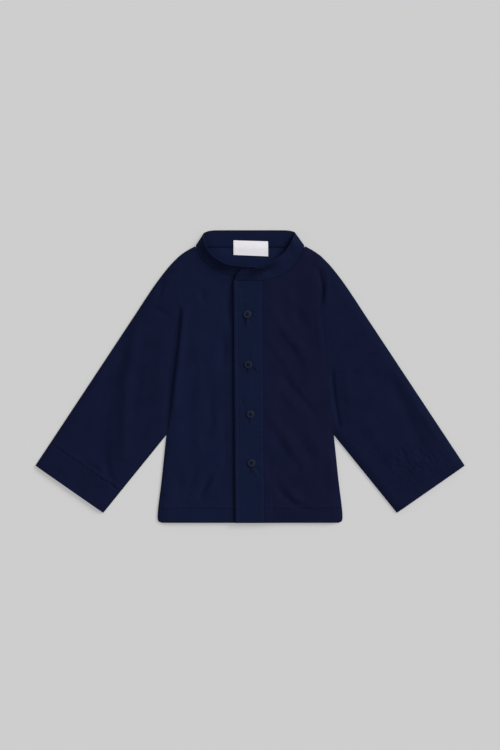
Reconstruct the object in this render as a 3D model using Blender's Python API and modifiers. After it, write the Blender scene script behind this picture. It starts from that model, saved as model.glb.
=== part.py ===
"""Child's long-sleeved shirt with a stand collar, buttoned up and laid flat with its front up.

Frame: +X towards the wearer's left, +Y towards the collar, +Z up from the surface it lies on.
The origin is on that surface, under the middle of the garment. Names of left and right are the
wearer's. Every length below is in millimetres, and MM turns it into metres.
"""
import math
from collections import namedtuple

import bmesh
import bpy
import numpy as np
from mathutils import Matrix, Vector

MM = 0.001

# Walls and clearances
CLOTH = 1.0
BAND = 1.3
LABEL_THICKNESS = 1.0
SEAM_GAP = 0.36
ARMHOLE_GAP = 0.5
LAYER_GAP = 0.3
LAP_STEP = 2.0
LAP_FADE = 30.0

# Whole garment, flat
LENGTH = 380.0
TOP_Y = LENGTH / 2
HEM_Y = -LENGTH / 2
BAND_HEIGHT = 21.5
BACK_SEAM_Y = TOP_Y - BAND_HEIGHT
BACK_NECK_X = 58.0
BACK_NECK_CORNER = (72.5, 167.6)

# Upper layer: how high its middle surface lies over the floor
EDGE_HEIGHT = CLOTH + LAYER_GAP + CLOTH / 2
LOFT = 1.8
LOFT_WIDTH = 12.0
NECK_LIFT = 1.2
NECK_LIFT_WIDTH = 13.0
NECK_SIDE = (70.0, 166.0)
HIGHEST = 5.3

# Placket
PLACKET_LEFT = ((-21.4, 123.9), (-19.0, HEM_Y))
PLACKET_RIGHT = ((15.4, 123.7), (18.2, HEM_Y))
UNDERLAP_SHARE = 0.94

# Buttons
BUTTON_RADIUS = 5.75
HOLE_RADIUS = 0.85
HOLE_CIRCLE = 1.9
BUTTON_SIDES = 20
HOLE_SIDES = 8
CUTTER_LENGTH = 12.0

# Label
LABEL_CORNERS = ((-21.6, 176.8), (23.3, 175.5), (23.6, 156.0), (-21.6, 157.9))

NAVY = (0.0066, 0.0092, 0.0319)
NAVY_PLASTIC = (0.0091, 0.0123, 0.0262)
OFF_WHITE = (0.60, 0.58, 0.54)
CLOTH_ROUGHNESS = 0.85
CLOTH_SHEEN = 0.2
TAPE_ROUGHNESS = 0.7
PLASTIC_ROUGHNESS = 0.35

Point = namedtuple("Point", "x y")
Fold = namedtuple("Fold", "x1 y1 x2 y2 width height")
Station = namedtuple("Station", "seam_x seam_y top_x top_y seam_z top_z")
Button = namedtuple("Button", "x y")
Ring = namedtuple("Ring", "inset z")

# Left half of the outline, from the neck point over the shoulder, then straight to the cuff
SHOULDER = [Point(71.3, 169.2), Point(81.0, 165.6), Point(91.7, 156.7)]
OVER_ARM = [Point(91.7, 156.7), Point(103.2, 145.0), Point(119.7, 124.2), Point(136.6, 99.5),
            Point(146.6, 84.1)]
CUFF_OUTER = Point(278.9, -115.6)
CUFF_INNER = Point(190.6, -177.1)
ARMPIT = Point(108.8, -75.9)
SIDE = [Point(108.8, -75.9), Point(114.4, -130.0), Point(120.1, -184.4)]
HEM_CORNER = [Point(120.1, -184.4), Point(118.9, -188.3), Point(114.8, HEM_Y)]

# Armhole seam, from the shoulder down to the armpit
ARMHOLE = [Point(91.7, 156.7), Point(96.2, 129.4), Point(96.9, 111.2), Point(94.3, 86.5),
           Point(96.2, 60.5), Point(100.8, 8.5), Point(105.3, -37.1), Point(108.8, -75.9)]

# Front neck seams, from the centre to the neck point; the right one is mirrored to +X here
NECK_LEFT = [Point(15.8, 124.1), Point(28.6, 126.8), Point(40.3, 131.3), Point(52.0, 138.5),
             Point(61.3, 149.5), Point(67.9, 161.2), Point(71.3, 169.2)]
NECK_RIGHT = [Point(-12.8, 124.4), Point(0.0, 125.4), Point(18.2, 128.6), Point(32.5, 133.2),
              Point(44.2, 138.4), Point(54.6, 144.2), Point(62.6, 151.4), Point(67.9, 160.6),
              Point(71.3, 169.2)]

# The largest creases of the upper layer; a negative height is a trough
FOLDS = [
    Fold(-94.5, 92.0, -96.5, 62.0, 5.0, -1.5),
    Fold(-96.5, 62.0, -102.5, -5.0, 5.0, -1.5),
    Fold(-102.5, -5.0, -107.5, -70.0, 5.0, -1.2),
    Fold(-84.0, 80.0, -92.0, -20.0, 8.0, 1.1),
    Fold(-112.0, 60.0, -118.0, -10.0, 8.0, 1.0),
    Fold(-148.0, 56.0, -174.0, -38.0, 9.0, -1.4),
    Fold(-174.0, -38.0, -186.0, -94.0, 8.0, -1.4),
    Fold(-162.0, 40.0, -192.0, -70.0, 9.0, 1.0),
    Fold(-186.0, -94.0, -180.0, -136.0, 7.0, -1.0),
    Fold(-112.0, 122.0, -119.0, 99.0, 5.0, -1.0),
    Fold(-48.0, -134.0, -67.0, -157.0, 6.0, -1.3),
    Fold(-40.0, -128.0, -58.0, -152.0, 7.0, 1.0),
    Fold(-60.0, 100.0, -66.0, 20.0, 11.0, 0.9),
    Fold(-45.0, 60.0, -44.0, -60.0, 10.0, -1.0),
    Fold(-76.0, 10.0, -84.0, -120.0, 11.0, -0.9),
    Fold(30.0, 92.0, 62.0, 24.0, 9.0, 1.2),
    Fold(62.0, 24.0, 96.0, -49.0, 10.0, 1.2),
    Fold(44.0, 100.0, 78.0, 40.0, 9.0, -1.2),
    Fold(34.0, 40.0, 76.0, -60.0, 10.0, -1.2),
    Fold(24.0, -60.0, 60.0, -120.0, 9.0, 1.0),
    Fold(22.0, -94.0, 86.0, -172.0, 9.0, -1.2),
    Fold(70.0, 78.0, 74.0, 66.0, 7.0, -1.0),
    Fold(96.0, 130.0, 97.0, 108.0, 5.0, -1.3),
    Fold(109.0, 4.0, 118.0, -70.0, 5.0, -1.3),
    Fold(120.0, 30.0, 132.0, -60.0, 9.0, 0.9),
    Fold(196.0, -8.0, 216.0, -38.0, 8.0, -1.3),
    Fold(216.0, -38.0, 246.0, -94.0, 8.0, -1.4),
    Fold(180.0, -20.0, 222.0, -92.0, 9.0, 1.1),
    Fold(206.0, -94.0, 224.0, -126.0, 5.0, -1.0),
    Fold(222.0, -90.0, 240.0, -114.0, 5.0, 0.9),
]

# Stand collar, from its upper front end round the back to its lower front end. A z of None is
# worked out: at the seam from the cloth below, at the top from the band's height.
COLLAR = [
    Station(-20.2, 125.1, -15.6, 139.1, None, None),
    Station(-14.4, 124.9, -10.6, 138.8, None, None),
    Station(-2.6, 124.7, 0.0, 138.5, None, None),
    Station(15.6, 124.9, 13.0, 140.4, None, None),
    Station(28.4, 127.4, 26.0, 146.9, None, None),
    Station(40.0, 131.8, 35.1, 152.8, None, None),
    Station(51.6, 139.0, 42.9, 159.9, None, None),
    Station(60.9, 149.8, 49.4, 168.4, None, None),
    Station(67.2, 161.4, 54.6, 177.8, None, None),
    Station(69.6, 167.3, 57.2, 184.2, 4.2, 5.0),
    Station(70.0, 170.0, 57.8, 186.8, 2.5, 2.8),
    Station(67.2, 170.4, 55.0, 188.6, BAND / 2, BAND / 2),
    Station(60.0, 168.9, 49.0, 189.7, BAND / 2, BAND / 2),
    Station(40.0, 168.8, 36.0, TOP_Y, BAND / 2, BAND / 2),
    Station(0.0, 168.8, 0.0, TOP_Y, BAND / 2, BAND / 2),
    Station(-40.0, 168.8, -36.0, TOP_Y, BAND / 2, BAND / 2),
    Station(-60.0, 168.9, -49.0, 189.7, BAND / 2, BAND / 2),
    Station(-67.2, 170.4, -56.4, 188.2, BAND / 2, BAND / 2),
    Station(-70.0, 170.0, -59.6, 186.0, 2.5, 2.8),
    Station(-69.6, 167.3, -59.8, 182.8, 4.2, 5.0),
    Station(-67.2, 160.9, -59.0, 175.0, None, None),
    Station(-61.8, 151.8, -54.6, 164.5, None, None),
    Station(-54.2, 144.8, -48.1, 156.7, None, None),
    Station(-43.9, 139.0, -40.3, 150.8, None, None),
    Station(-32.3, 133.8, -29.9, 145.6, None, None),
    Station(-18.0, 129.2, -15.6, 143.7, None, None),
    Station(0.0, 126.0, 0.0, 142.4, None, None),
    Station(12.4, 125.0, 13.0, 141.2, None, None),
]
BAND_STEPS = 5
STATION_STEPS = 4
BAND_CORNER = 8.0
BAND_END_SHARE = 0.3
BAND_FLAT_SHARE = 0.6
BAND_FLAT_RISE = 0.1
RISE_SHARE = 0.8
LEAST_RISE = 4.0

# Half section of a button, from the middle of its dished face round its rim to its back
BUTTON_SECTION = [Ring(BUTTON_RADIUS, 1.7), Ring(1.9, 1.7), Ring(1.3, 2.3), Ring(0.6, 2.3),
                  Ring(0.0, 1.5), Ring(0.3, 0.5), Ring(1.1, 0.0), Ring(BUTTON_RADIUS, 0.0)]
BUTTONS = [Button(-3.6, 80.6), Button(-2.1, 15.6), Button(0.6, -48.9), Button(1.9, -112.1)]


# ---------------------------------------------------------------- curves and patches

CURVE_STEPS = 12


def spline(points, steps):
    """A centripetal Catmull-Rom curve through the points, with this many steps to each span."""
    knots = [np.array(point, float) for point in points]
    knots = [2 * knots[0] - knots[1]] + knots + [2 * knots[-1] - knots[-2]]
    curve = []
    for a, b, c, d in zip(knots, knots[1:], knots[2:], knots[3:]):
        t1 = np.linalg.norm(b - a) ** 0.5
        t2 = t1 + np.linalg.norm(c - b) ** 0.5
        t3 = t2 + np.linalg.norm(d - c) ** 0.5
        for t in np.linspace(t1, t2, steps, endpoint=False):
            ab = (a * (t1 - t) + b * t) / t1
            bc = (b * (t2 - t) + c * (t - t1)) / (t2 - t1)
            cd = (c * (t3 - t) + d * (t - t2)) / (t3 - t2)
            abc = (ab * (t2 - t) + bc * t) / t2
            bcd = (bc * (t3 - t) + cd * (t - t1)) / (t3 - t1)
            curve.append((abc * (t2 - t) + bcd * (t - t1)) / (t2 - t1))
    curve.append(knots[-2])
    return np.array(curve)


def spaced(line, count):
    """count + 1 points at even distances along a line of points."""
    line = np.array(line, float)
    lengths = np.concatenate([[0], np.cumsum(np.linalg.norm(np.diff(line, axis=0), axis=1))])
    stops = np.linspace(0, lengths[-1], count + 1)
    return np.stack([np.interp(stops, lengths, line[:, axis]) for axis in range(line.shape[1])], 1)


def smooth_line(points, count):
    return spaced(spline(points, CURVE_STEPS), count)


def straight(start, end, count):
    return spaced([start, end], count)


def joined(*lines):
    """Lines end to end, with each shared end kept once."""
    return np.concatenate([lines[0]] + [line[1:] for line in lines[1:]])


def mirrored(line):
    return line * np.array([-1.0, 1.0])


def patch(bottom, top, left, right):
    """Rows of points that fill the space between four lines (a Coons patch)."""
    u = np.linspace(0, 1, len(bottom))[None, :, None]
    v = np.linspace(0, 1, len(left))[:, None, None]
    across = (1 - v) * bottom[None] + v * top[None]
    along = (1 - u) * left[:, None] + u * right[:, None]
    corners = ((1 - u) * (1 - v) * bottom[0] + u * (1 - v) * bottom[-1]
               + (1 - u) * v * top[0] + u * v * top[-1])
    return across + along - corners


# ---------------------------------------------------------------- height of the upper layer

def segment_distance(x, y, x1, y1, x2, y2):
    dx, dy = x2 - x1, y2 - y1
    share = ((x - x1) * dx + (y - y1) * dy) / (dx * dx + dy * dy)
    share = min(max(share, 0.0), 1.0)
    return math.hypot(x - x1 - share * dx, y - y1 - share * dy)


EDGE_LINES = [
    joined(smooth_line(SHOULDER, 4), smooth_line(OVER_ARM, 8), straight(OVER_ARM[-1], CUFF_OUTER, 1)),
    joined(straight(CUFF_INNER, ARMPIT, 1), smooth_line(SIDE + HEM_CORNER[1:], 4)),
]


def edge_distance(x, y):
    return min(segment_distance(abs(x), y, *start, *end)
               for line in EDGE_LINES for start, end in zip(line, line[1:]))


def layer_height(x, y):
    """Height of the middle of the upper cloth over the floor."""
    inside = min(edge_distance(x, y) / LOFT_WIDTH, 1.0)
    loft = LOFT * (1 - (1 - inside) ** 2)
    for fold in FOLDS:
        distance = segment_distance(x, y, fold.x1, fold.y1, fold.x2, fold.y2)
        loft += inside * fold.height * math.exp(-(distance / fold.width) ** 2)
    from_neck = math.hypot(abs(x) - NECK_SIDE[0], y - NECK_SIDE[1])
    neck = NECK_LIFT * math.exp(-(from_neck / NECK_LIFT_WIDTH) ** 2)
    return EDGE_HEIGHT + min(max(loft, 0.0), HIGHEST - EDGE_HEIGHT) + neck


def lap_height(x, y):
    """The same for the left front and its placket, which step up over the right front's edge."""
    past = min(max((x - PLACKET_RIGHT[0][0]) / LAP_FADE, 0.0), 1.0)
    fade = 1 - past * past * (3 - 2 * past)
    return layer_height(x, y) + LAP_STEP * fade


# ---------------------------------------------------------------- objects

def material(name, colour, roughness, sheen=0.0):
    result = bpy.data.materials.new(name)
    result.use_nodes = True
    shader = result.node_tree.nodes["Principled BSDF"]
    shader.inputs["Base Color"].default_value = (*colour, 1.0)
    shader.inputs["Roughness"].default_value = roughness
    shader.inputs["Metallic"].default_value = 0.0
    shader.inputs["Sheen Weight"].default_value = sheen
    return result


def add_object(name, data, collection, colour, roughness, sheen=0.0):
    thing = bpy.data.objects.new(name, data)
    collection.objects.link(thing)
    data.materials.append(material(name, colour, roughness, sheen))
    return thing


def cloth_from_rows(name, rows, wall, collection, closed=False):
    """An open sheet, or with closed rows an open tube, that Solidify gives its wall."""
    row_count, column_count = len(rows), len(rows[0])
    points = [tuple(value * MM for value in point) for row in rows for point in row]
    last = column_count if closed else column_count - 1
    faces = []
    for row in range(row_count - 1):
        for column in range(last):
            beside = (column + 1) % column_count
            faces.append((row * column_count + column, row * column_count + beside,
                          (row + 1) * column_count + beside, (row + 1) * column_count + column))
    mesh = bpy.data.meshes.new(name)
    mesh.from_pydata(points, [], faces)
    mesh.shade_smooth()
    thing = add_object(name, mesh, collection, NAVY, CLOTH_ROUGHNESS, CLOTH_SHEEN)
    solidify = thing.modifiers.new("wall", "SOLIDIFY")
    solidify.thickness = wall * MM
    solidify.offset = 0.0
    return thing


def raised(grid, height):
    return [[(x, y, height(x, y)) for x, y in row] for row in grid]


# ---------------------------------------------------------------- body

SIDE_ROWS = 15
ARMHOLE_ROWS = 18
NECK_COLUMNS = 12
SHOULDER_COLUMNS = 4
PLACKET_COLUMNS = 4


def outer_edge():
    """From the hem's corner up the side and the armhole to the shoulder."""
    side = smooth_line([HEM_CORNER[1]] + SIDE[::-1], SIDE_ROWS)
    armhole = smooth_line(ARMHOLE[::-1], ARMHOLE_ROWS)
    armhole[:, 0] -= ARMHOLE_GAP / 2
    side[-1] = armhole[0]
    return joined(side, armhole)


def neck_and_shoulder(neck):
    seam = smooth_line(neck, NECK_COLUMNS)
    shoulder = smooth_line(SHOULDER, SHOULDER_COLUMNS)
    shoulder[-1][0] -= ARMHOLE_GAP / 2
    return joined(seam, shoulder)


def hem_line(start_x):
    return spaced([(start_x, HEM_Y), HEM_CORNER[2], HEM_CORNER[1]],
                  NECK_COLUMNS + SHOULDER_COLUMNS)


def centre_line(bottom_x, top_point):
    """Centre edge with its rows level with those of the side and the armhole."""
    share = (ARMPIT.y - HEM_Y) / (top_point[1] - HEM_Y)
    turn = (bottom_x + share * (top_point[0] - bottom_x), ARMPIT.y)
    return joined(straight((bottom_x, HEM_Y), turn, SIDE_ROWS),
                  straight(turn, top_point, ARMHOLE_ROWS))


def build_left_front(collection):
    edge_x = PLACKET_RIGHT[1][0] + SEAM_GAP
    top = neck_and_shoulder(NECK_LEFT)
    grid = patch(hem_line(edge_x), top, centre_line(edge_x, top[0]), outer_edge())
    return cloth_from_rows("front_left", raised(grid, lap_height), CLOTH, collection)


def build_right_front(collection):
    """Built as the mirror of a left one, with its buttoned edge running on under the placket."""
    lap_top = PLACKET_RIGHT[0][0] * UNDERLAP_SHARE
    lap_bottom = PLACKET_RIGHT[1][0] * UNDERLAP_SHARE
    top = neck_and_shoulder([Point(-lap_top, NECK_RIGHT[0].y)] + NECK_RIGHT[1:])
    grid = patch(hem_line(-lap_bottom), top, centre_line(-lap_bottom, top[0]), outer_edge())
    grid = grid[:, ::-1] * np.array([-1.0, 1.0])
    return cloth_from_rows("front_right", raised(grid, layer_height), CLOTH, collection)


def build_placket(collection):
    left = straight(PLACKET_LEFT[1], PLACKET_LEFT[0], SIDE_ROWS + ARMHOLE_ROWS)
    right = straight(PLACKET_RIGHT[1], PLACKET_RIGHT[0], SIDE_ROWS + ARMHOLE_ROWS)
    grid = patch(straight(left[0], right[0], PLACKET_COLUMNS),
                 straight(left[-1], right[-1], PLACKET_COLUMNS), left, right)
    return cloth_from_rows("placket", raised(grid, lap_height), BAND, collection)


def build_back(collection):
    """One flat panel on the floor, from half an outline and its mirror image."""
    half = joined(straight((0.0, BACK_SEAM_Y), (BACK_NECK_X, BACK_SEAM_Y), 1),
                  straight((BACK_NECK_X, BACK_SEAM_Y), BACK_NECK_CORNER, 1),
                  neck_and_shoulder(NECK_LEFT)[NECK_COLUMNS + 1:],
                  outer_edge()[:SIDE_ROWS - 1:-BACK_STRIDE], outer_edge()[SIDE_ROWS::-1],
                  smooth_line(HEM_CORNER[1:], 2), straight(HEM_CORNER[2], (0.0, HEM_Y), 1))
    outline = np.concatenate([half, mirrored(half)[-2:0:-1]])
    return flat_plate("back", outline, CLOTH, 0.0, collection, NAVY, CLOTH_ROUGHNESS)


# ---------------------------------------------------------------- sleeves

SLEEVE_RINGS = 22
SLEEVE_TOP_STEPS = ARMHOLE_ROWS
BACK_STRIDE = 3
FOLD_RAISE = 0.4
FOLD_RADIUS = (EDGE_HEIGHT + FOLD_RAISE - CLOTH / 2) / 2
FOLD_STEPS = 4


def sleeve_fold(edge, inner, first_angle):
    """Half a turn of cloth round one edge of the sleeve, from the floor up or from the top down."""
    direction = (inner - edge) / np.linalg.norm(inner - edge)
    centre = edge + direction * (FOLD_RADIUS + CLOTH / 2)
    points = []
    for step in range(FOLD_STEPS + 1):
        angle = first_angle + math.pi * step / FOLD_STEPS
        flat = centre - direction * FOLD_RADIUS * abs(math.sin(angle))
        points.append((*flat, CLOTH / 2 + FOLD_RADIUS * (1 - math.cos(angle))))
    return points


def sleeve_ring(across):
    """One ring: turned at both edges, lofted above, and flat on the floor below."""
    near = sleeve_fold(across[0], across[1], 0.0)
    far = sleeve_fold(across[-1], across[-2], math.pi)
    above = [(x, y, layer_height(x, y)) for x, y in across[1:-1]]
    below = [(x, y, CLOTH / 2) for x, y in across[-1 - BACK_STRIDE:0:-BACK_STRIDE]]
    return near + above + far + below


def build_sleeve(name, side, collection):
    armhole = smooth_line(ARMHOLE[::-1], SLEEVE_TOP_STEPS)
    armhole[:, 0] += ARMHOLE_GAP / 2
    under_arm = straight(armhole[0], CUFF_INNER, SLEEVE_RINGS)
    over_arm = spaced(joined([armhole[-1]], smooth_line(OVER_ARM, CURVE_STEPS),
                             straight(OVER_ARM[-1], CUFF_OUTER, 1)), SLEEVE_RINGS)
    cuff = straight(CUFF_INNER, CUFF_OUTER, SLEEVE_TOP_STEPS)
    grid = patch(armhole, cuff, under_arm, over_arm)
    grid[..., 0] *= side
    rings = [sleeve_ring(across) for across in grid]
    if side > 0:
        rings = [ring[::-1] for ring in rings]
    return cloth_from_rows(name, rings, CLOTH, collection, closed=True)


# ---------------------------------------------------------------- collar

def band_ends(stations):
    """Seam and top line of the band in 3-D."""
    seam, top = [], []
    for index, station in enumerate(stations):
        seam_z, top_z = station.seam_z, station.top_z
        if seam_z is None:
            height = lap_height if index < len(stations) // 2 else layer_height
            seam_z = height(station.seam_x, station.seam_y)
            run = math.hypot(station.top_x - station.seam_x, station.top_y - station.seam_y)
            rise = math.sqrt(max(BAND_HEIGHT ** 2 - run ** 2, LEAST_RISE ** 2))
            top_z = seam_z + RISE_SHARE * rise
        seam.append((station.seam_x, station.seam_y, seam_z))
        top.append((station.top_x, station.top_y, top_z))
    lines = spline(seam, STATION_STEPS), spline(top, STATION_STEPS)
    for line in lines:
        line[:, 2] = np.maximum(line[:, 2], BAND / 2)
    return lines


def build_collar(collection):
    """A band that lies flat at its seam and curls up to its top edge, with rounded front ends."""
    seam, top = band_ends(COLLAR)
    travelled = np.concatenate([[0], np.cumsum(np.linalg.norm(np.diff(seam, axis=0), axis=1))])
    rows = []
    for low, high, past in zip(seam, top, travelled):
        from_end = min(past, travelled[-1] - past, BAND_CORNER) / BAND_CORNER
        rounding = math.sqrt(1 - (1 - from_end) ** 2)
        reach = BAND_END_SHARE + (1 - BAND_END_SHARE) * rounding
        bend = low + BAND_FLAT_SHARE * (high - low)
        bend[2] = low[2] + BAND_FLAT_RISE * (high[2] - low[2])
        row = []
        for t in np.linspace(0, reach, BAND_STEPS + 1):
            row.append(tuple((1 - t) ** 2 * low + 2 * t * (1 - t) * bend + t * t * high))
        rows.append(row)
    return cloth_from_rows("collar", rows, BAND, collection)


# ---------------------------------------------------------------- flat plates and buttons

SEAT_PLACES = 12


def flat_plate(name, outline, thickness, lowest, collection, colour, roughness):
    """A flat outline filled and given its thickness, lying at a height over the floor."""
    data = bpy.data.curves.new(name, "CURVE")
    data.dimensions = "2D"
    data.fill_mode = "BOTH"
    data.extrude = thickness / 2 * MM
    line = data.splines.new("POLY")
    line.points.add(len(outline) - 1)
    for point, (x, y) in zip(line.points, outline):
        point.co = (x * MM, y * MM, 0.0, 1.0)
    line.use_cyclic_u = True
    thing = add_object(name, data, collection, colour, roughness)
    thing.location.z = (lowest + thickness / 2) * MM
    return thing


def button_mesh():
    rings = [((BUTTON_RADIUS - ring.inset) * MM, 0.0, ring.z * MM) for ring in BUTTON_SECTION]
    mesh = bpy.data.meshes.new("button")
    mesh.from_pydata(rings, [(index, index + 1) for index in range(len(rings) - 1)], [])
    mesh.materials.append(material("button", NAVY_PLASTIC, PLASTIC_ROUGHNESS))
    return mesh


def seat_height(button):
    """Lowest place for a button's back that is clear of the placket all round."""
    ring = [(button.x + BUTTON_RADIUS * math.cos(turn), button.y + BUTTON_RADIUS * math.sin(turn))
            for turn in np.linspace(0, 2 * math.pi, SEAT_PLACES)]
    return max(lap_height(x, y) for x, y in ring) + BAND / 2 + LAYER_GAP


def build_hole_cutter(name, button, collection):
    """Four pins through the place of one button."""
    pins = bmesh.new()
    for quarter in range(4):
        angle = math.pi / 4 + quarter * math.pi / 2
        place = Vector((button.x + HOLE_CIRCLE * math.cos(angle),
                        button.y + HOLE_CIRCLE * math.sin(angle), CUTTER_LENGTH / 2)) * MM
        bmesh.ops.create_cone(pins, cap_ends=True, segments=HOLE_SIDES, radius1=HOLE_RADIUS * MM,
                              radius2=HOLE_RADIUS * MM, depth=CUTTER_LENGTH * MM,
                              matrix=Matrix.Translation(place))
    mesh = bpy.data.meshes.new(name)
    pins.to_mesh(mesh)
    pins.free()
    cutter = bpy.data.objects.new(name, mesh)
    cutter.hide_render = True
    cutter.display_type = "WIRE"
    collection.objects.link(cutter)
    return cutter


def build_buttons(collection, cutters):
    mesh = button_mesh()
    for number, button in enumerate(BUTTONS, 1):
        thing = bpy.data.objects.new(f"button_{number}", mesh)
        collection.objects.link(thing)
        thing.location = Vector((button.x, button.y, seat_height(button))) * MM
        turned = thing.modifiers.new("turned", "SCREW")
        turned.steps = turned.render_steps = BUTTON_SIDES
        turned.use_merge_vertices = True
        turned.merge_threshold = 0.00001
        holes = thing.modifiers.new("holes", "BOOLEAN")
        holes.operation = "DIFFERENCE"
        holes.object = build_hole_cutter(f"button_holes_{number}", button, cutters)


def main():
    for thing in list(bpy.data.objects):
        bpy.data.objects.remove(thing)
    shirt = bpy.data.collections.new("collarless_shirt")
    cutters = bpy.data.collections.new("cutters")
    bpy.context.scene.collection.children.link(shirt)
    bpy.context.scene.collection.children.link(cutters)
    build_back(shirt)
    build_right_front(shirt)
    build_left_front(shirt)
    build_placket(shirt)
    build_collar(shirt)
    build_sleeve("sleeve_left", 1, shirt)
    build_sleeve("sleeve_right", -1, shirt)
    flat_plate("label", LABEL_CORNERS, LABEL_THICKNESS, BAND + LAYER_GAP, shirt, OFF_WHITE,
               TAPE_ROUGHNESS)
    build_buttons(shirt, cutters)


main()
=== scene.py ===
"""A small child's long-sleeved shirt with a stand collar, buttoned up and laid flat, front up.

Frame: +X towards the wearer's left, +Y towards the collar, +Z up from the surface it lies on.
Lengths are in millimetres, and MM turns them into the frame's metres. Sides are the wearer's.
"""
import math
from collections import namedtuple

import bpy
import numpy as np
from mathutils import Matrix, Vector, noise


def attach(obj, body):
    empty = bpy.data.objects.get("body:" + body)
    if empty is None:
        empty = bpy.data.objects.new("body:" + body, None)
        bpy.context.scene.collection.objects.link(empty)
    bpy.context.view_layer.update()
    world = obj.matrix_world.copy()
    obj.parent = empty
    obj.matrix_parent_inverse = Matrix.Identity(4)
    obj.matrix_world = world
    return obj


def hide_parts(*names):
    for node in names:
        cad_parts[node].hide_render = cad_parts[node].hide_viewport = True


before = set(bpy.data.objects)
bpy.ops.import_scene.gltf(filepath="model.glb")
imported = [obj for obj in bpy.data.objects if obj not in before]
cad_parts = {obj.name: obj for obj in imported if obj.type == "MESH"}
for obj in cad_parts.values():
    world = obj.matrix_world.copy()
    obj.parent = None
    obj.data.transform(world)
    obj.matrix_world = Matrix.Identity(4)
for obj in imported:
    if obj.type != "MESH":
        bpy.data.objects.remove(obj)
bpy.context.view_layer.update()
bpy.ops.object.select_all(action="DESELECT")


# ================================================================ back
# The back is one panel of fine navy cotton in a plain weave, cut with the grain along its length.
# It lies face down on the floor, and its neck edge is sewn into the collar band.

# The cloth, its hem and its seams. Along its seams the back turns up towards the fronts.
MM = 0.001
WALL = 0.7
RIM_ANGLE = 60
HEM_Y = -190.0
HEM_DEPTH = 17.5
SEAM_HALF_GAP = 0.03
SIDE_TURN = 0.28
SIDE_TURN_WIDTH = 1.4

# The back's half width, the spacing of its points, and how it lies on the floor
BACK_HALF_WIDTH = 115.0
BACK_STEP = 2.6
BACK_SHOULDER_START = 6
SHOULDER_FINE = 2.0
BACK_REST = 0.46
BACK_WAVE = 0.11
BACK_WAVE_SIZE = 30.0
BACK_WAVE_FADE = 10.0
WALK_STEPS = 2000
SECOND_WAVE = 0.5

# Outlines of the left half, read from the shirt as it lies
Point = namedtuple("Point", "x y")
SHOULDER = [Point(71.3, 169.2), Point(77.2, 166.1), Point(84.5, 161.8), Point(91.7, 156.7)]
BACK_NECK = [Point(0.0, 169.4), Point(62.0, 169.2), Point(72.6, 168.0)]
ARMHOLE = [SHOULDER[-1], Point(96.2, 129.4), Point(96.9, 111.2), Point(94.3, 86.5),
           Point(96.2, 60.5), Point(100.8, 8.5), Point(105.3, -37.1), Point(108.8, -75.9)]
ARMPIT = ARMHOLE[-1]
SIDE = [ARMPIT, Point(114.4, -130.0), Point(120.1, -184.4)]
HEM_CORNER = [SIDE[-1], Point(118.9, -188.3), Point(114.8, HEM_Y)]

# The cotton's two tones and finish. Scales are those of the noise that mottles its threads.
NAVY_DEEP = (0.0033, 0.0064, 0.0245)
NAVY_LIGHT = (0.0062, 0.0100, 0.0355)
# Painted light: the back's cotton is made lighter all over, so that the inside of the back, seen
# through the neck, is lifted out of the collar's shade.
BACK_PAINTED_LIGHT_TONE = (1.15, 1.25, 1.28)
THREADS_PER_METRE = 2200.0
SLUB_ACROSS, SLUB_ALONG = 900.0, 22.0
CLOUD_SCALE = 34.0
CLOUD_SHARE = 0.45
TONE_FROM, TONE_TO = 0.25, 0.75
WEAVE_RELIEF = 0.00012
COTTON_ROUGHNESS = 0.9
COTTON_SHINE = 0.06


def spline(points, steps=12):
    """A centripetal Catmull-Rom curve through the points, with this many steps to each span."""
    knots = [np.array(point, float) for point in points]
    knots = [2 * knots[0] - knots[1]] + knots + [2 * knots[-1] - knots[-2]]
    curve = []
    for a, b, c, d in zip(knots, knots[1:], knots[2:], knots[3:]):
        t1 = np.linalg.norm(b - a) ** 0.5
        t2 = t1 + np.linalg.norm(c - b) ** 0.5
        t3 = t2 + np.linalg.norm(d - c) ** 0.5
        for t in np.linspace(t1, t2, steps, endpoint=False):
            ab = (a * (t1 - t) + b * t) / t1
            bc = (b * (t2 - t) + c * (t - t1)) / (t2 - t1)
            cd = (c * (t3 - t) + d * (t - t2)) / (t3 - t2)
            abc = (ab * (t2 - t) + bc * t) / t2
            bcd = (bc * (t3 - t) + cd * (t - t1)) / (t3 - t1)
            curve.append((abc * (t2 - t) + bcd * (t - t1)) / (t2 - t1))
    curve.append(knots[-2])
    return np.array(curve)


def lengths_along(line):
    """How far each point of a line is from its start, along the line."""
    return np.concatenate([[0], np.cumsum(np.linalg.norm(np.diff(line, axis=0), axis=1))])


def along(line, shares):
    """Points at these shares of a line's length."""
    line = np.array(line, float)
    lengths = lengths_along(line)
    places = np.asarray(shares) * lengths[-1]
    return np.stack([np.interp(places, lengths, line[:, axis]) for axis in range(line.shape[1])], 1)


def joined(*lines):
    """Lines end to end, with each shared end kept once."""
    return np.concatenate([lines[0]] + [line[1:] for line in lines[1:]])


def mirrored(line):
    """Points in plan, moved to the same places on the shirt's other side."""
    return line * np.array([-1.0, 1.0])


def stops(length, fine_places, coarse=2.0, fine=0.45, reach=2.0):
    """Distances along a length, close together near the fine places and wider elsewhere."""
    walk = np.linspace(0, length, WALK_STEPS)
    away = np.min([np.abs(walk - place) for place in fine_places], axis=0)
    step = fine + (coarse - fine) * np.clip((away - reach) / (3 * reach), 0, 1)
    count = np.concatenate([[0], np.cumsum(np.diff(walk) / step[1:])])
    return np.interp(np.linspace(0, count[-1], math.ceil(count[-1]) + 1), count, walk)


def patch(bottom, top, left, right, u, v):
    """Rows of points that fill the space between four lines (a Coons patch)."""
    u, v = u[None, :, None], v[:, None, None]
    across = (1 - v) * bottom[None] + v * top[None]
    upward = (1 - u) * left[:, None] + u * right[:, None]
    corners = ((1 - u) * (1 - v) * bottom[0] + u * (1 - v) * bottom[-1]
               + (1 - u) * v * top[0] + u * v * top[-1])
    return across + upward - corners


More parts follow.
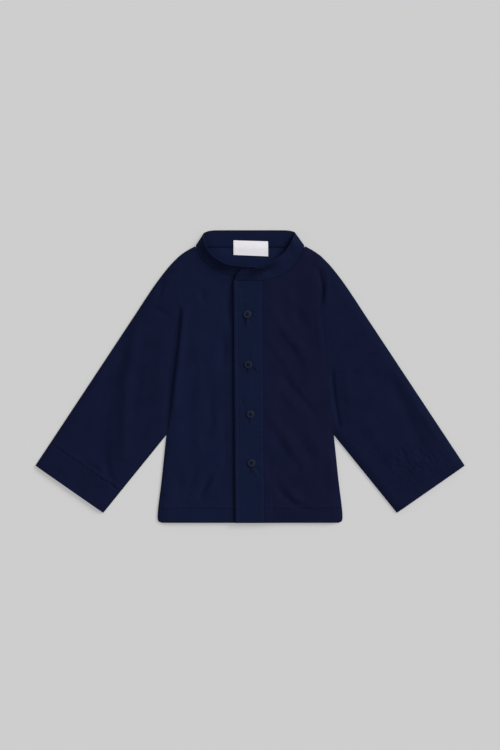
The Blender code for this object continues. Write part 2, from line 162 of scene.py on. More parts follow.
def nearest(points, line):
    """Distance in plan from each point to a line, and how far along the line its nearest place is."""
    start, step = line[:-1], np.diff(line, axis=0)
    sizes = (step ** 2).sum(1)
    best = np.full(points.shape[:-1], np.inf)
    share = np.zeros(points.shape[:-1])
    travelled = lengths_along(line)
    for first, move, size, before in zip(start, step, sizes, travelled):
        part = np.clip(((points - first) * move).sum(-1) / size, 0, 1)
        away = np.linalg.norm(points - first - part[..., None] * move, axis=-1)
        closer = away < best
        best = np.where(closer, away, best)
        share = np.where(closer, before + part * math.sqrt(size), share)
    return best, share / travelled[-1]


def smooth_step(value):
    """0 up to 0, 1 from 1 on, and a soft rise between them."""
    value = np.clip(value, 0, 1)
    return value * value * (3 - 2 * value)


def bell(away, width):
    """1 at no distance, falling off smoothly over about this width."""
    return np.exp(-(away / width) ** 2)


def ripple(points, size, seed):
    """Soft uneven waves of about this size, mostly from -1 to 1."""
    waves = [noise.noise(Vector((x, y, seed)))
             + SECOND_WAVE * noise.noise(Vector((2 * x, 2 * y, seed + 9)))
             for x, y in points.reshape(-1, 2) / size]
    return np.array(waves).reshape(points.shape[:-1])


def placed(name, data):
    """A new object of the scene, from a mesh or a camera."""
    piece = bpy.data.objects.new(name, data)
    bpy.context.scene.collection.objects.link(piece)
    return piece


def cloth(name, rows, grain, wall, closed=False, rim=0.2):
    """A sheet of points in rows, or a tube of closed rows, given its wall and rounded rims.
    grain holds each point's place on the flat cloth, with one column more on a tube."""
    index = np.arange(rows.shape[0] * rows.shape[1]).reshape(rows.shape[:2])
    beside = np.roll(index, -1, axis=1)
    last = rows.shape[1] if closed else rows.shape[1] - 1
    faces = np.stack([index[:-1], beside[:-1], beside[1:], index[1:]], -1)[:, :last]
    mesh = bpy.data.meshes.new(name)
    mesh.from_pydata((rows.reshape(-1, 3) * MM).tolist(), [], faces.reshape(-1, 4).tolist())
    corners = np.stack([grain[:-1, :-1], grain[:-1, 1:], grain[1:, 1:], grain[1:, :-1]], 2)
    mesh.uv_layers.new(name="grain").data.foreach_set("uv", (corners * MM).ravel())
    mesh.shade_smooth()
    piece = placed(name, mesh)
    solidify = piece.modifiers.new("wall", "SOLIDIFY")
    solidify.thickness = wall * MM
    solidify.offset = 0.0
    bevel = piece.modifiers.new("rim", "BEVEL")
    bevel.width = rim * MM
    bevel.segments = 2
    bevel.limit_method = "ANGLE"
    bevel.angle_limit = math.radians(RIM_ANGLE)
    apply_modifiers(piece)
    return piece


def apply_modifiers(piece):
    """Makes a piece's modifiers part of its mesh, in their order."""
    bpy.context.view_layer.objects.active = piece
    for modifier in list(piece.modifiers):
        bpy.ops.object.modifier_apply(modifier=modifier.name)


def add(tree, kind, inputs, **settings):
    """A new node with its settings. Each input is a number, a colour or another node's socket."""
    made = tree.nodes.new(kind)
    for name, value in settings.items():
        setattr(made, name, value)
    for name, value in inputs.items():
        if isinstance(value, bpy.types.NodeSocket):
            tree.links.new(value, made.inputs[name])
        else:
            made.inputs[name].default_value = value
    return made


def maths(tree, operation, *values):
    """The result of one sum on numbers or sockets."""
    return add(tree, "ShaderNodeMath", dict(enumerate(values)), operation=operation).outputs[0]


def build_weave():
    """Plain weave from threads that pass over and under, some of them thicker than others."""
    group = bpy.data.node_groups.new("plain_weave", "ShaderNodeTree")
    for name, kind in (("Place", "NodeSocketVector"), ("Threads per Metre", "NodeSocketFloat")):
        group.interface.new_socket(name, in_out="INPUT", socket_type=kind)
    for name in ("Height", "Thread Tone", "Cloud"):
        group.interface.new_socket(name, in_out="OUTPUT", socket_type="NodeSocketFloat")
    given = group.nodes.new("NodeGroupInput")
    place = add(group, "ShaderNodeSeparateXYZ", {"Vector": given.outputs["Place"]})
    turn = maths(group, "MULTIPLY", given.outputs["Threads per Metre"], math.pi)
    warp = maths(group, "SINE", maths(group, "MULTIPLY", place.outputs["X"], turn))
    weft = maths(group, "SINE", maths(group, "MULTIPLY", place.outputs["Y"], turn))
    over = maths(group, "GREATER_THAN", maths(group, "MULTIPLY", warp, weft), 0.0)
    height = add(group, "ShaderNodeMix", {0: over, 2: maths(group, "ABSOLUTE", weft),
                                          3: maths(group, "ABSOLUTE", warp)})
    slubs = []
    for stretch in ((SLUB_ACROSS, SLUB_ALONG, 1.0), (SLUB_ALONG, SLUB_ACROSS, 1.0)):
        run = add(group, "ShaderNodeVectorMath", {0: given.outputs["Place"], 1: stretch},
                  operation="MULTIPLY")
        slubs.append(add(group, "ShaderNodeTexNoise", {"Vector": run.outputs[0], "Scale": 1.0,
                                                       "Detail": 2.0}).outputs[0])
    tone = add(group, "ShaderNodeMix", {0: over, 2: slubs[1], 3: slubs[0]})
    cloud = add(group, "ShaderNodeTexNoise", {"Vector": given.outputs["Place"], "Detail": 4.0,
                                              "Scale": CLOUD_SCALE, "Roughness": 0.55})
    add(group, "NodeGroupOutput", {"Height": height.outputs[0], "Thread Tone": tone.outputs[0],
                                   "Cloud": cloud.outputs[0]})
    return group


WEAVE = build_weave()


def plain_finish(name, shine, roughness=0.5):
    """A new material, with its node tree and the inputs of its shader."""
    result = bpy.data.materials.new(name)
    result.use_nodes = True
    inputs = result.node_tree.nodes["Principled BSDF"].inputs
    inputs["Roughness"].default_value = roughness
    inputs["Specular IOR Level"].default_value = shine
    return result, result.node_tree, inputs


def shirting(name, tone=(1.0, 1.0, 1.0), dark=NAVY_DEEP, light=NAVY_LIGHT,
             per_metre=THREADS_PER_METRE):
    """Navy cotton: two tones of thread, clouded a little, with the weave in low relief.
    tone scales this panel's colour against the others, in red, green and blue; the back's tone is
    painted light."""
    dark, light = np.multiply(dark, tone), np.multiply(light, tone)
    result, tree, inputs = plain_finish(name, COTTON_SHINE, COTTON_ROUGHNESS)
    place = add(tree, "ShaderNodeUVMap", {}, uv_map="grain")
    weave = add(tree, "ShaderNodeGroup", {"Place": place.outputs[0], "Threads per Metre": per_metre},
                node_tree=WEAVE)
    blend = add(tree, "ShaderNodeMix", {
        0: CLOUD_SHARE, 2: weave.outputs["Thread Tone"], 3: weave.outputs["Cloud"]})
    spread = add(tree, "ShaderNodeMapRange", {
        "Value": blend.outputs[0], "From Min": TONE_FROM, "From Max": TONE_TO})
    colour = add(tree, "ShaderNodeMix", {0: spread.outputs[0], 6: (*dark, 1.0), 7: (*light, 1.0)},
                 data_type="RGBA")
    bump = add(tree, "ShaderNodeBump", {"Height": weave.outputs["Height"], "Strength": 0.5,
                                        "Distance": WEAVE_RELIEF})
    tree.links.new(colour.outputs[2], inputs["Base Color"])
    tree.links.new(bump.outputs[0], inputs["Normal"])
    return result


def settle(piece, node, material):
    """Gives a cloth piece its finish, hides the solid it stands for and hangs the piece from the
    root.
    """
    piece.data.materials.clear()
    piece.data.materials.append(material)
    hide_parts(node)
    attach(piece, "root")


def outer_edge():
    """From the hem's corner up the side and the armhole to the shoulder."""
    side = along(spline([HEM_CORNER[1]] + SIDE[::-1]), side_stops / side_stops[-1])
    armhole = along(spline(ARMHOLE[::-1]), armhole_stops / armhole_stops[-1])
    armhole[:, 0] -= SEAM_HALF_GAP
    side[-1] = armhole[0]
    return joined(side, armhole)


side_length = lengths_along(spline([HEM_CORNER[1]] + SIDE[::-1]))[-1]
armhole_length = lengths_along(spline(ARMHOLE))[-1]
side_stops = stops(side_length, [0.0, HEM_DEPTH])
armhole_stops = stops(armhole_length, [armhole_length - SHOULDER_FINE])
up_shares = joined(side_stops, side_length + armhole_stops) / (side_length + armhole_length)

back_half_shares = stops(BACK_HALF_WIDTH, [BACK_HALF_WIDTH], coarse=BACK_STEP) / BACK_HALF_WIDTH
back_hem = along([(0.0, HEM_Y), HEM_CORNER[2], HEM_CORNER[1]], back_half_shares)
back_top = along(joined(np.array(BACK_NECK), spline(SHOULDER)[BACK_SHOULDER_START:]),
                 back_half_shares)
back_top[-1][0] -= SEAM_HALF_GAP
back_shares = joined(-back_half_shares[::-1], back_half_shares) / 2 + 0.5
back_flat = patch(joined(mirrored(back_hem[::-1]), back_hem),
                  joined(mirrored(back_top[::-1]), back_top),
                  mirrored(outer_edge()), outer_edge(), back_shares, up_shares)
back_edge = joined(spline(SIDE[::-1]), spline(ARMHOLE[::-1]), spline(SHOULDER[::-1]))
from_back_edge = np.minimum(nearest(back_flat, back_edge)[0],
                            nearest(back_flat, mirrored(back_edge))[0])
back_height = (BACK_REST + BACK_WAVE * np.clip(ripple(back_flat, BACK_WAVE_SIZE, seed=3.0), -1, 1)
               * smooth_step(from_back_edge / BACK_WAVE_FADE)
               + SIDE_TURN * bell(from_back_edge, SIDE_TURN_WIDTH))
back = cloth("back_cloth", np.dstack([back_flat, back_height]), back_flat, WALL)
# The back's finish carries painted light: it is lightened to lift it out of the collar's shade.
settle(back, "back", shirting("back_cotton_painted_light", BACK_PAINTED_LIGHT_TONE))


# ================================================================ fronts
# Two fronts of the same cotton lie over the back, joined to it at the shoulders and the sides.
# Their hem is turned up twice and sewn, and lying loose they fall in soft, shallow creases.

# How high the middle of the upper cloth lies at its edges, how far it swells up from them and
# beside the neck, and where its creases are softly stopped
EDGE_HEIGHT = 1.8
LOFT = 2.3
LOFT_WIDTH = 12.0
NECK_LIFT = 1.2
NECK_LIFT_WIDTH = 13.0
NECK_SIDE = (70.0, 166.0)
HIGHEST = 6.2
SOFTNESS = 0.25

# Its waves and creases, the dip of the armhole seams, and the left front's lap over the right
WAVE = 0.22
WAVE_SIZE = 24.0
FINE_WAVE = 0.06
FINE_WAVE_SIZE = 7.0
CREASE_REACH = 3.0
CREASE_STEPS = 6
SEAM_DIP = 0.16
SEAM_DIP_WIDTH = 1.3
LAP_STEP = 2.0
LAP_FADE = 30.0

# The hem: a raised turning, a fuller roll above the stitches, and the puckers along them. A
# drift is how far the puckers wander, and how fast.
HEM_RAISE = 0.15
HEM_RAMP = 1.6
HEM_PUFF = 0.5
HEM_PUFF_UP = 3.2
HEM_PUFF_WIDTH = 2.3
HEM_GROOVE = 0.24
HEM_GROOVE_WIDTH = 1.1
HEM_PUCKER = 0.24
HEM_PUCKER_REACH = 5.0
HEM_PUCKER_TURN = 0.95
HEM_PUCKER_DRIFTS = ((1.8, 0.11), (0.7, 0.37))
SWELL = 0.4
SWELL_TURN = 0.053

# How far the fronts run in, and are let down, under the collar and the placket
TUCK_START = 0.25
TUCK_RUN = 1.2
NECK_TUCK = 2.2
NECK_FADE = 14.0
NECK_DIP = 1.25
PLACKET_TUCK = 2.0
PLACKET_DIP = 1.1
UNDERLAP_SHARE = 0.94

# The left front's lean in colour
LEFT_TONE = (1.05, 0.82, 0.86)

# Outlines in plan. The placket's are its top and bottom corners, and the right front's neck is
# given on the left side, where that front is laid out before it is mirrored.
OVER_ARM = [SHOULDER[-1], Point(103.2, 145.0), Point(119.7, 124.2), Point(136.6, 99.5),
            Point(146.6, 84.1)]
CUFF_OUTER = Point(278.9, -115.6)
CUFF_INNER = Point(190.6, -177.1)
PLACKET_LEFT = ((-21.4, 123.9), (-19.0, HEM_Y))
PLACKET_RIGHT = ((15.4, 123.7), (18.2, HEM_Y))
NECK_LEFT = [Point(15.8, 124.1), Point(28.6, 126.8), Point(40.3, 131.3), Point(52.0, 138.5),
             Point(61.3, 149.5), Point(67.9, 161.2), SHOULDER[0]]
NECK_RIGHT = [Point(-14.5, 124.4), Point(0.0, 125.4), Point(18.2, 128.6), Point(32.5, 133.2),
              Point(44.2, 138.4), Point(54.6, 144.2), Point(62.6, 151.4), Point(67.9, 160.6),
              SHOULDER[0]]

EDGE_LINES = [joined(spline(SHOULDER), spline(OVER_ARM), np.array([OVER_ARM[-1], CUFF_OUTER])),
              joined(np.array([CUFF_INNER, ARMPIT]), spline(SIDE), np.array(HEM_CORNER))]

# Creases of the whole upper layer. A negative height is a trough, and hold says how far a crease
# keeps its height before its ends fade out.
Crease = namedtuple("Crease", "path width height hold")
CREASES = [
    # right armhole, where the sleeve falls away from the front
    Crease([(-91, 92), (-98, 34), (-102.6, -3), (-107, -43), (-109.8, -76)], 3.6, -4.2, 8),
    Crease([(-85, 94), (-89.6, 40), (-94.6, -5), (-99.6, -50)], 4.2, 2.6, 4),
    Crease([(-97, 84), (-103, 30), (-109, -20)], 6.5, -1.1, 3),
    Crease([(-111, 66), (-117, 20), (-121, -20)], 8.0, 0.8, 2),
    Crease([(-127, 91), (-115, 84), (-102, 75)], 3.6, -1.1, 2),
    Crease([(-112, 130), (-117, 112), (-121, 96)], 3.6, -1.6, 2),
    # right sleeve
    Crease([(-144, 72), (-153, 30), (-160, -14), (-162, -62), (-164, -110)], 7.5, 2.2, 5),
    Crease([(-158, 60), (-176, 12), (-188, -36), (-193, -84), (-188, -122)], 11.5, -3.0, 3),
    Crease([(-140, 16), (-146, -14), (-154, -52)], 6.5, -0.8, 2),
    Crease([(-187, -96), (-186, -116), (-179, -142)], 4.5, -1.3, 2),
    Crease([(-216, -66), (-205, -92), (-196, -118)], 8.0, -1.0, 2),
    Crease([(-126, -20), (-138, -64), (-160, -104)], 9.0, -0.8, 2),
    Crease([(-215, -112), (-203, -119), (-191, -127)], 3.0, -0.9, 2),
    Crease([(-184, -136), (-178, -142), (-171, -147)], 3.0, -0.9, 2),
    # right front
    Crease([(-64, 116), (-62, 105), (-59, 92)], 4.5, -1.3, 2),
    Crease([(-58, 106), (-64, 60), (-67, 14)], 10.0, 1.1, 2),
    Crease([(-27, 120), (-28.5, 96), (-27, 66)], 5.0, -1.6, 2),
    Crease([(-33, 54), (-34, 30), (-37, 8)], 4.6, -1.6, 2),
    Crease([(-44, 66), (-48, 20), (-44, -20)], 7.5, 0.9, 2),
    Crease([(-64, 22), (-65, -4), (-67, -30)], 5.0, 1.0, 2),
    Crease([(-50, -16), (-52, -40), (-49, -64)], 5.0, -1.5, 2),
    Crease([(-74, 20), (-80, -50), (-85, -124)], 9.0, -1.3, 2),
    Crease([(-48, -84), (-42, -62), (-40, -44)], 4.6, 1.3, 2),
    Crease([(-36, -88), (-33, -76), (-31, -62)], 4.0, -1.1, 2),
    Crease([(-68, -60), (-67, -82), (-64, -102)], 5.0, 1.1, 2),
    Crease([(-30, -90), (-32, -108), (-30, -130)], 5.0, -1.1, 2),
    Crease([(-50, -124), (-58, -142), (-67, -162)], 4.2, -2.2, 2),
    Crease([(-42, -122), (-49, -140), (-57, -158)], 5.0, 1.4, 2),
    Crease([(-69, -112), (-76, -136), (-85, -160)], 5.0, -1.7, 2),
    Crease([(-96, -112), (-91, -140), (-93, -166)], 6.0, -0.9, 2),
    Crease([(-104, -96), (-102, -118), (-104, -142)], 5.0, -0.9, 2),
    # left front
    Crease([(24, 98), (43, 62), (65, 38), (77, 14)], 6.0, 1.2, 3),
    Crease([(33, 60), (49, 40), (62, 20), (72, 0)], 5.5, -0.9, 2),
    Crease([(20, 56), (34, 34), (50, 12), (63, -10)], 5.0, 1.1, 3),
    Crease([(34, 10), (45, -4), (64, -26), (92, -60)], 4.6, -1.2, 3),
    Crease([(34, -9), (50, -30), (68, -51)], 4.6, 1.0, 2),
    Crease([(20, -42), (34, -61), (44, -75), (67, -114)], 6.0, 1.2, 3),
    Crease([(24, -66), (37, -86), (58, -118)], 5.5, -0.8, 2),
    Crease([(52, -62), (66, -84), (84, -112)], 5.0, -0.9, 2),
    Crease([(72, -62), (84, -84), (96, -112)], 6.0, 0.8, 2),
    Crease([(36, -124), (51, -147), (66, -161), (88, -165)], 5.0, 1.2, 2),
    Crease([(28, -132), (43, -154), (62, -168), (84, -172)], 4.0, -1.1, 2),
    Crease([(58, 92), (66, 74), (72, 56)], 7.5, -1.9, 2),
    Crease([(44, 112), (54, 96), (60, 82)], 6.0, 0.8, 2),
    Crease([(24, 30), (26, 8), (24, -20)], 7.0, -0.9, 2),
    Crease([(23, -98), (25, -114), (24, -132)], 4.0, -0.9, 2),
    Crease([(58, -108), (62, -116), (64, -126)], 3.0, -0.9, 2),
    Crease([(29.7, -150), (29.6, -168), (29.7, -188)], 2.2, -0.6, 2),
    Crease([(100, -96), (96, -130), (100, -160)], 6.0, -0.7, 2),
    # left armhole
    Crease([(88, 142), (93.5, 118), (93, 104), (89, 88)], 3.2, -2.3, 3),
    Crease([(99, 128), (101, 110), (98, 92)], 4.0, 1.2, 2),
    Crease([(88, 82), (89.5, 58), (93, 30)], 3.4, 0.9, 2),
    Crease([(105.5, 12), (109, -26), (117, -70)], 3.2, -2.0, 4),
    Crease([(120, 36), (126, -10), (133, -62)], 8.0, 0.9, 2),
    # left sleeve
    Crease([(178, 8), (190, -20), (204, -48), (220, -86), (230, -108)], 8.5, -1.9, 4),
    Crease([(194, 8), (210, -16), (225, -42), (246, -84)], 6.0, 1.5, 3),
    Crease([(150, 40), (160, 4), (178, -30)], 10.0, -0.8, 2),
    Crease([(140, -40), (160, -76), (186, -112)], 9.0, 0.7, 2),
    Crease([(196, -92), (200, -104), (203, -116)], 3.0, -1.1, 2),
    Crease([(215, -88), (220, -99), (226, -108)], 3.0, -0.9, 2),
]

# Patches of cloth crumpled by a tight seam. The size is that of their dents.
Crumple = namedtuple("Crumple", "x y half_length half_width size height")
CRUMPLES = [
    Crumple(206.0, -110.0, 35.0, 18.0, 5.2, 1.1), Crumple(212.0, -134.0, 18.0, 14.0, 7.0, 0.8),
    Crumple(164.0, -97.0, 7.0, 4.0, 3.6, 0.6), Crumple(-150.0, 4.0, 16.0, 26.0, 4.4, 0.4),
    Crumple(-196.0, -132.0, 26.0, 12.0, 6.0, 0.6), Crumple(96.0, 112.0, 10.0, 18.0, 5.0, 0.6),
    Crumple(60.0, -150.0, 40.0, 22.0, 5.5, 0.45), Crumple(-62.0, -146.0, 40.0, 24.0, 6.0, 0.5),
]


def on_left(points):
    """Points of the right side brought over to the left one."""
    return np.stack([np.abs(points[..., 0]), points[..., 1]], -1)


def inside_share(points):
    """0 at the garment's outer edge, 1 where the upper cloth has risen to its full loft."""
    from_edge = np.minimum(nearest(on_left(points), EDGE_LINES[0])[0],
                           nearest(on_left(points), EDGE_LINES[1])[0])
    return np.minimum(from_edge / LOFT_WIDTH, 1.0)


def creased(points, creases):
    """Height that the creases add at each point, worked out only within reach of each crease."""
    flat = points.reshape(-1, 2)
    height = np.zeros(len(flat))
    for crease in creases:
        path, reach = spline(crease.path, CREASE_STEPS), CREASE_REACH * crease.width
        near = np.all((flat > path.min(0) - reach) & (flat < path.max(0) + reach), axis=1)
        away, share = nearest(flat[near], path)
        fade = 1 - np.abs(2 * share - 1) ** crease.hold
        height[near] += fade * crease.height * bell(away, crease.width)
    return height.reshape(points.shape[:-1])


def tuck(outside, depth):
    """How far an edge is let down where it runs in under the piece sewn over it."""
    return depth * smooth_step((TUCK_START - outside) / TUCK_RUN)


def upper_height(points):
    """Height of the middle of the upper cloth over the floor, creases and armhole seams included."""
    inside = inside_share(points)
    loft = LOFT * (1 - (1 - inside) ** 2) + inside * creased(points, CREASES)
    loft += inside * (WAVE * ripple(points, WAVE_SIZE, seed=0.0)
                      + FINE_WAVE * ripple(points, FINE_WAVE_SIZE, seed=5.0))
    for spot in CRUMPLES:
        spread = (bell(points[..., 0] - spot.x, spot.half_length)
                  * bell(points[..., 1] - spot.y, spot.half_width))
        loft += inside * spot.height * spread * ripple(points, spot.size, seed=spot.x)
    loft = SOFTNESS * np.logaddexp(0, loft / SOFTNESS)
    loft = np.minimum(loft, HIGHEST - EDGE_HEIGHT)
    lift = NECK_LIFT * bell(np.linalg.norm(on_left(points) - NECK_SIDE, axis=-1), NECK_LIFT_WIDTH)
    dip = SEAM_DIP * inside * bell(nearest(on_left(points), spline(ARMHOLE))[0], SEAM_DIP_WIDTH)
    turn = SIDE_TURN * bell(inside * LOFT_WIDTH, SIDE_TURN_WIDTH)
    return EDGE_HEIGHT + loft + lift - dip - turn


def pucker_wave(place, turn, drifts, slant=0.0):
    """A wave along a seam. Its drifts spread some of the puckers out and crowd others."""
    return np.sin(place * turn + sum(size * np.sin(place * rate) for size, rate in drifts) + slant)


def hem_relief(from_edge, place, depth):
    """A turned hem stands a little proud, and draws into small puckers along its stitching."""
    from_line = from_edge - depth
    proud = HEM_RAISE * smooth_step(0.5 - from_line / HEM_RAMP)
    proud += HEM_PUFF * bell(from_line - HEM_PUFF_UP, HEM_PUFF_WIDTH)
    groove = HEM_GROOVE * bell(from_line, HEM_GROOVE_WIDTH)
    swell = 1 - SWELL + SWELL * np.sin(place * SWELL_TURN + 1.0)
    wave = pucker_wave(place, HEM_PUCKER_TURN, HEM_PUCKER_DRIFTS)
    return proud - groove + HEM_PUCKER * swell * wave * bell(from_line, HEM_PUCKER_REACH)


def lap(points):
    """How much the left front is raised where it lies over the right front's edge."""
    return LAP_STEP * (1 - smooth_step((points[..., 0] - PLACKET_RIGHT[0][0]) / LAP_FADE))


def neck_seam(neck):
    """The neck edge let out a little, so that it runs on under the foot of the collar band."""
    line = spline(neck)
    along_line = np.gradient(line, axis=0)
    along_line /= np.linalg.norm(along_line, axis=1, keepdims=True)
    travelled = lengths_along(line)
    fade = smooth_step((travelled[-1] - travelled) / NECK_FADE)
    return line + NECK_TUCK * fade[:, None] * np.stack([-along_line[:, 1], along_line[:, 0]], 1)


def front_height(points, neck_line):
    """Height of either front, let down under the collar band along its neck seam."""
    relief = hem_relief(points[..., 1] - HEM_Y, points[..., 0], HEM_DEPTH)
    away, share = nearest(points, neck_line)
    fade = smooth_step((1 - share) * lengths_along(neck_line)[-1] / NECK_FADE)
    return upper_height(points) + relief - fade * tuck(away - NECK_TUCK * fade, NECK_DIP)


def placket_edge(side, y):
    """X of one long edge of the placket at a height up the shirt."""
    return np.interp(y, [HEM_Y, side[0][1]], [side[1][0], side[0][0]])


def front_flat(neck_line, centre_bottom_x):
    """Plan of a left front, from its centre edge to its side and its armhole."""
    shoulder = spline(SHOULDER)
    neck_stops = stops(lengths_along(neck_line)[-1], [PLACKET_TUCK])
    shoulder_stops = stops(lengths_along(shoulder)[-1], [lengths_along(shoulder)[-1]])
    top = joined(along(neck_line, neck_stops / neck_stops[-1]),
                 along(shoulder, shoulder_stops / shoulder_stops[-1]))
    top[-1][0] -= SEAM_HALF_GAP
    across = joined(neck_stops, neck_stops[-1] + shoulder_stops)
    across = across / across[-1]
    hem = along([(centre_bottom_x, HEM_Y), HEM_CORNER[2], HEM_CORNER[1]], across)
    share = (ARMPIT.y - HEM_Y) / (neck_line[0][1] - HEM_Y)
    turn = (centre_bottom_x + share * (neck_line[0][0] - centre_bottom_x), ARMPIT.y)
    centre = joined(along([(centre_bottom_x, HEM_Y), turn], side_stops / side_stops[-1]),
                    along([turn, neck_line[0]], armhole_stops / armhole_stops[-1]))
    return patch(hem, top, centre, outer_edge(), across, up_shares)


left_neck = neck_seam([Point(NECK_LEFT[0].x - PLACKET_TUCK, NECK_LEFT[0].y)] + NECK_LEFT[1:])
left_flat = front_flat(left_neck, PLACKET_RIGHT[1][0] - PLACKET_TUCK)
past_placket = left_flat[..., 0] - placket_edge(PLACKET_RIGHT, left_flat[..., 1])
left_height = (front_height(left_flat, left_neck) + lap(left_flat)
               - tuck(past_placket, PLACKET_DIP))
front_left = cloth("front_left_cloth", np.dstack([left_flat, left_height]), left_flat, WALL)
settle(front_left, "front_left", shirting("front_left_cotton", LEFT_TONE))

right_neck = neck_seam(NECK_RIGHT)
right_flat = mirrored(front_flat(right_neck, -UNDERLAP_SHARE * PLACKET_RIGHT[1][0]))[:, ::-1]
right_height = front_height(right_flat, mirrored(right_neck))
front_right = cloth("front_right_cloth", np.dstack([right_flat, right_height]), right_flat, WALL)
settle(front_right, "front_right", shirting("front_right_cotton"))

# Sewing thread and its stitches. The rings are places along one stitch, as (share, width).
THREAD = (0.0042, 0.0072, 0.0260)
THREAD_DARK_SHARE = 0.7
THREAD_STRANDS = 5200.0
THREAD_TONE_FROM, THREAD_TONE_TO = 0.3, 0.7
THREAD_RELIEF = 0.0001
THREAD_ROUGHNESS = 0.7
THREAD_SHINE = 0.15
THREAD_RADIUS = 0.15
THREAD_SIDES = 6
THREAD_RINGS = [(0.0, 0.45), (0.14, 0.9), (0.5, 1.0), (0.86, 0.9), (1.0, 0.45)]
STITCH_LENGTH = 2.1
STITCH_PITCH = 2.6
STITCH_SINK = 0.1
STITCH_BOW = 0.2
SEAM_STEP = 0.8
HEM_STITCHES_LEFT = (18.6, 118.0)
HEM_STITCHES_RIGHT = (-118.0, -20.4)


def thread_finish(name, colour):
    """Spun cotton thread, with its strands wound round it."""
    result, tree, inputs = plain_finish(name, THREAD_SHINE, THREAD_ROUGHNESS)
    place = add(tree, "ShaderNodeTexCoord", {})
    strands = add(tree, "ShaderNodeTexNoise", {"Vector": place.outputs["Object"],
                                               "Scale": THREAD_STRANDS, "Detail": 1.0})
    shade = add(tree, "ShaderNodeMapRange", {
        "Value": strands.outputs[0], "From Min": THREAD_TONE_FROM, "From Max": THREAD_TONE_TO})
    dark = tuple(THREAD_DARK_SHARE * value for value in colour)
    tone = add(tree, "ShaderNodeMix", {0: shade.outputs[0], 6: (*dark, 1.0), 7: (*colour, 1.0)},
               data_type="RGBA")
    bump = add(tree, "ShaderNodeBump", {"Height": strands.outputs[0], "Strength": 0.4,
                                        "Distance": THREAD_RELIEF})
    tree.links.new(tone.outputs[2], inputs["Base Color"])
    tree.links.new(bump.outputs[0], inputs["Normal"])
    return result


NAVY_THREAD = thread_finish("navy_thread", THREAD)


def threads(name, starts, ends, ups, radius, bow, finish):
    """Short runs of thread joined as one piece, each bowed up between its two ends."""
    run = ends - starts
    beside = np.cross(run, ups)
    beside /= np.linalg.norm(beside, axis=1, keepdims=True)
    turns = np.linspace(0, 2 * math.pi, THREAD_SIDES, endpoint=False)
    rings = []
    for share, width in THREAD_RINGS:
        centre = starts + share * run + ups * bow * (1 - (2 * share - 1) ** 4)
        spokes = (np.cos(turns)[None, :, None] * beside[:, None]
                  + np.sin(turns)[None, :, None] * ups[:, None])
        rings.append(centre[:, None] + radius * width * spokes)
    points = np.stack(rings, 1)
    ring_count = len(THREAD_RINGS)
    first = np.arange(ring_count * THREAD_SIDES).reshape(ring_count, THREAD_SIDES)
    after = np.roll(first, -1, axis=1)
    sides = np.stack([first[:-1], first[1:], after[1:], after[:-1]], -1).reshape(-1, 4)
    caps = [first[0].tolist(), first[-1][::-1].tolist()]
    faces = []
    for number in range(len(starts)):
        base = number * ring_count * THREAD_SIDES
        faces += (sides + base).tolist() + [[base + corner for corner in cap] for cap in caps]
    mesh = bpy.data.meshes.new(name)
    mesh.from_pydata((points.reshape(-1, 3) * MM).tolist(), [], faces)
    mesh.shade_smooth()
    piece = placed(name, mesh)
    mesh.materials.append(finish)
    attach(piece, "root")


def stitched(name, line, finish=NAVY_THREAD, ups=None):
    """A row of straight stitches along a line that lies on the cloth's face."""
    travelled = lengths_along(line)
    places = np.arange(STITCH_PITCH / 2, travelled[-1] - STITCH_LENGTH, STITCH_PITCH)
    ups = np.tile([0.0, 0.0, 1.0], (len(line), 1)) if ups is None else ups
    at = [np.interp(places + reach, travelled, column)
          for reach in (0.0, STITCH_LENGTH) for column in line.T]
    up = np.stack([np.interp(places + STITCH_LENGTH / 2, travelled, column) for column in ups.T], 1)
    starts, ends = np.stack(at[:3], 1) - STITCH_SINK * up, np.stack(at[3:], 1) - STITCH_SINK * up
    threads(name, starts, ends, up, THREAD_RADIUS, STITCH_BOW, finish)


def hem_line(reach, neck_line, lapped):
    """The line that a front's hem is sewn along, on the cloth's face."""
    across = np.arange(*reach, SEAM_STEP)
    plan = np.stack([across, np.full(len(across), HEM_Y + HEM_DEPTH)], 1)
    return np.column_stack([plan, front_height(plan, neck_line) + lapped * lap(plan) + WALL / 2])


stitched("hem_stitches_left", hem_line(HEM_STITCHES_LEFT, left_neck, lapped=True))
stitched("hem_stitches_right", hem_line(HEM_STITCHES_RIGHT, mirrored(right_neck), lapped=False))


# ================================================================ sleeves
# Each sleeve is one panel folded round into a tube, seamed under the arm and set flat into the
# armhole. Its wide cuff is a deep hem, turned up and sewn, and its back half lies on the floor.

# The depth of the turned cuff, the arm's length and the spacing of the rows above and below its
# stitches
CUFF_DEPTH = 35.0
CUFF_STEP = 1.8
ARM_LENGTH = 215.0
ARM_STEP = 2.2

# The folds along both edges, the back half on the floor, and the run in under the armhole seam
FOLD_RADIUS = EDGE_HEIGHT / 2
FOLD_STEPS = 8
FLOOR_GAP = 0.02
EDGE_SHARE = 0.025
SLEEVE_COLUMNS = 96
UNDER_STRIDE = 2
UNDER_WAVE = 0.1
UNDER_WAVE_LEVEL = 0.6
ARMHOLE_TUCK = 1.2
ARMHOLE_DROP = 0.75
CUFF_SEAM_REACH = (0.03, 0.97)
CUFF_SEAM_STEPS = 140
SLEEVE_TONE = (1.0, 0.88, 0.93)

cuff_line = np.array([CUFF_INNER, CUFF_OUTER])
cuff_across = np.diff(cuff_line, axis=0)[0] / np.linalg.norm(np.diff(cuff_line, axis=0))
cuff_down = np.array([cuff_across[1], -cuff_across[0]])


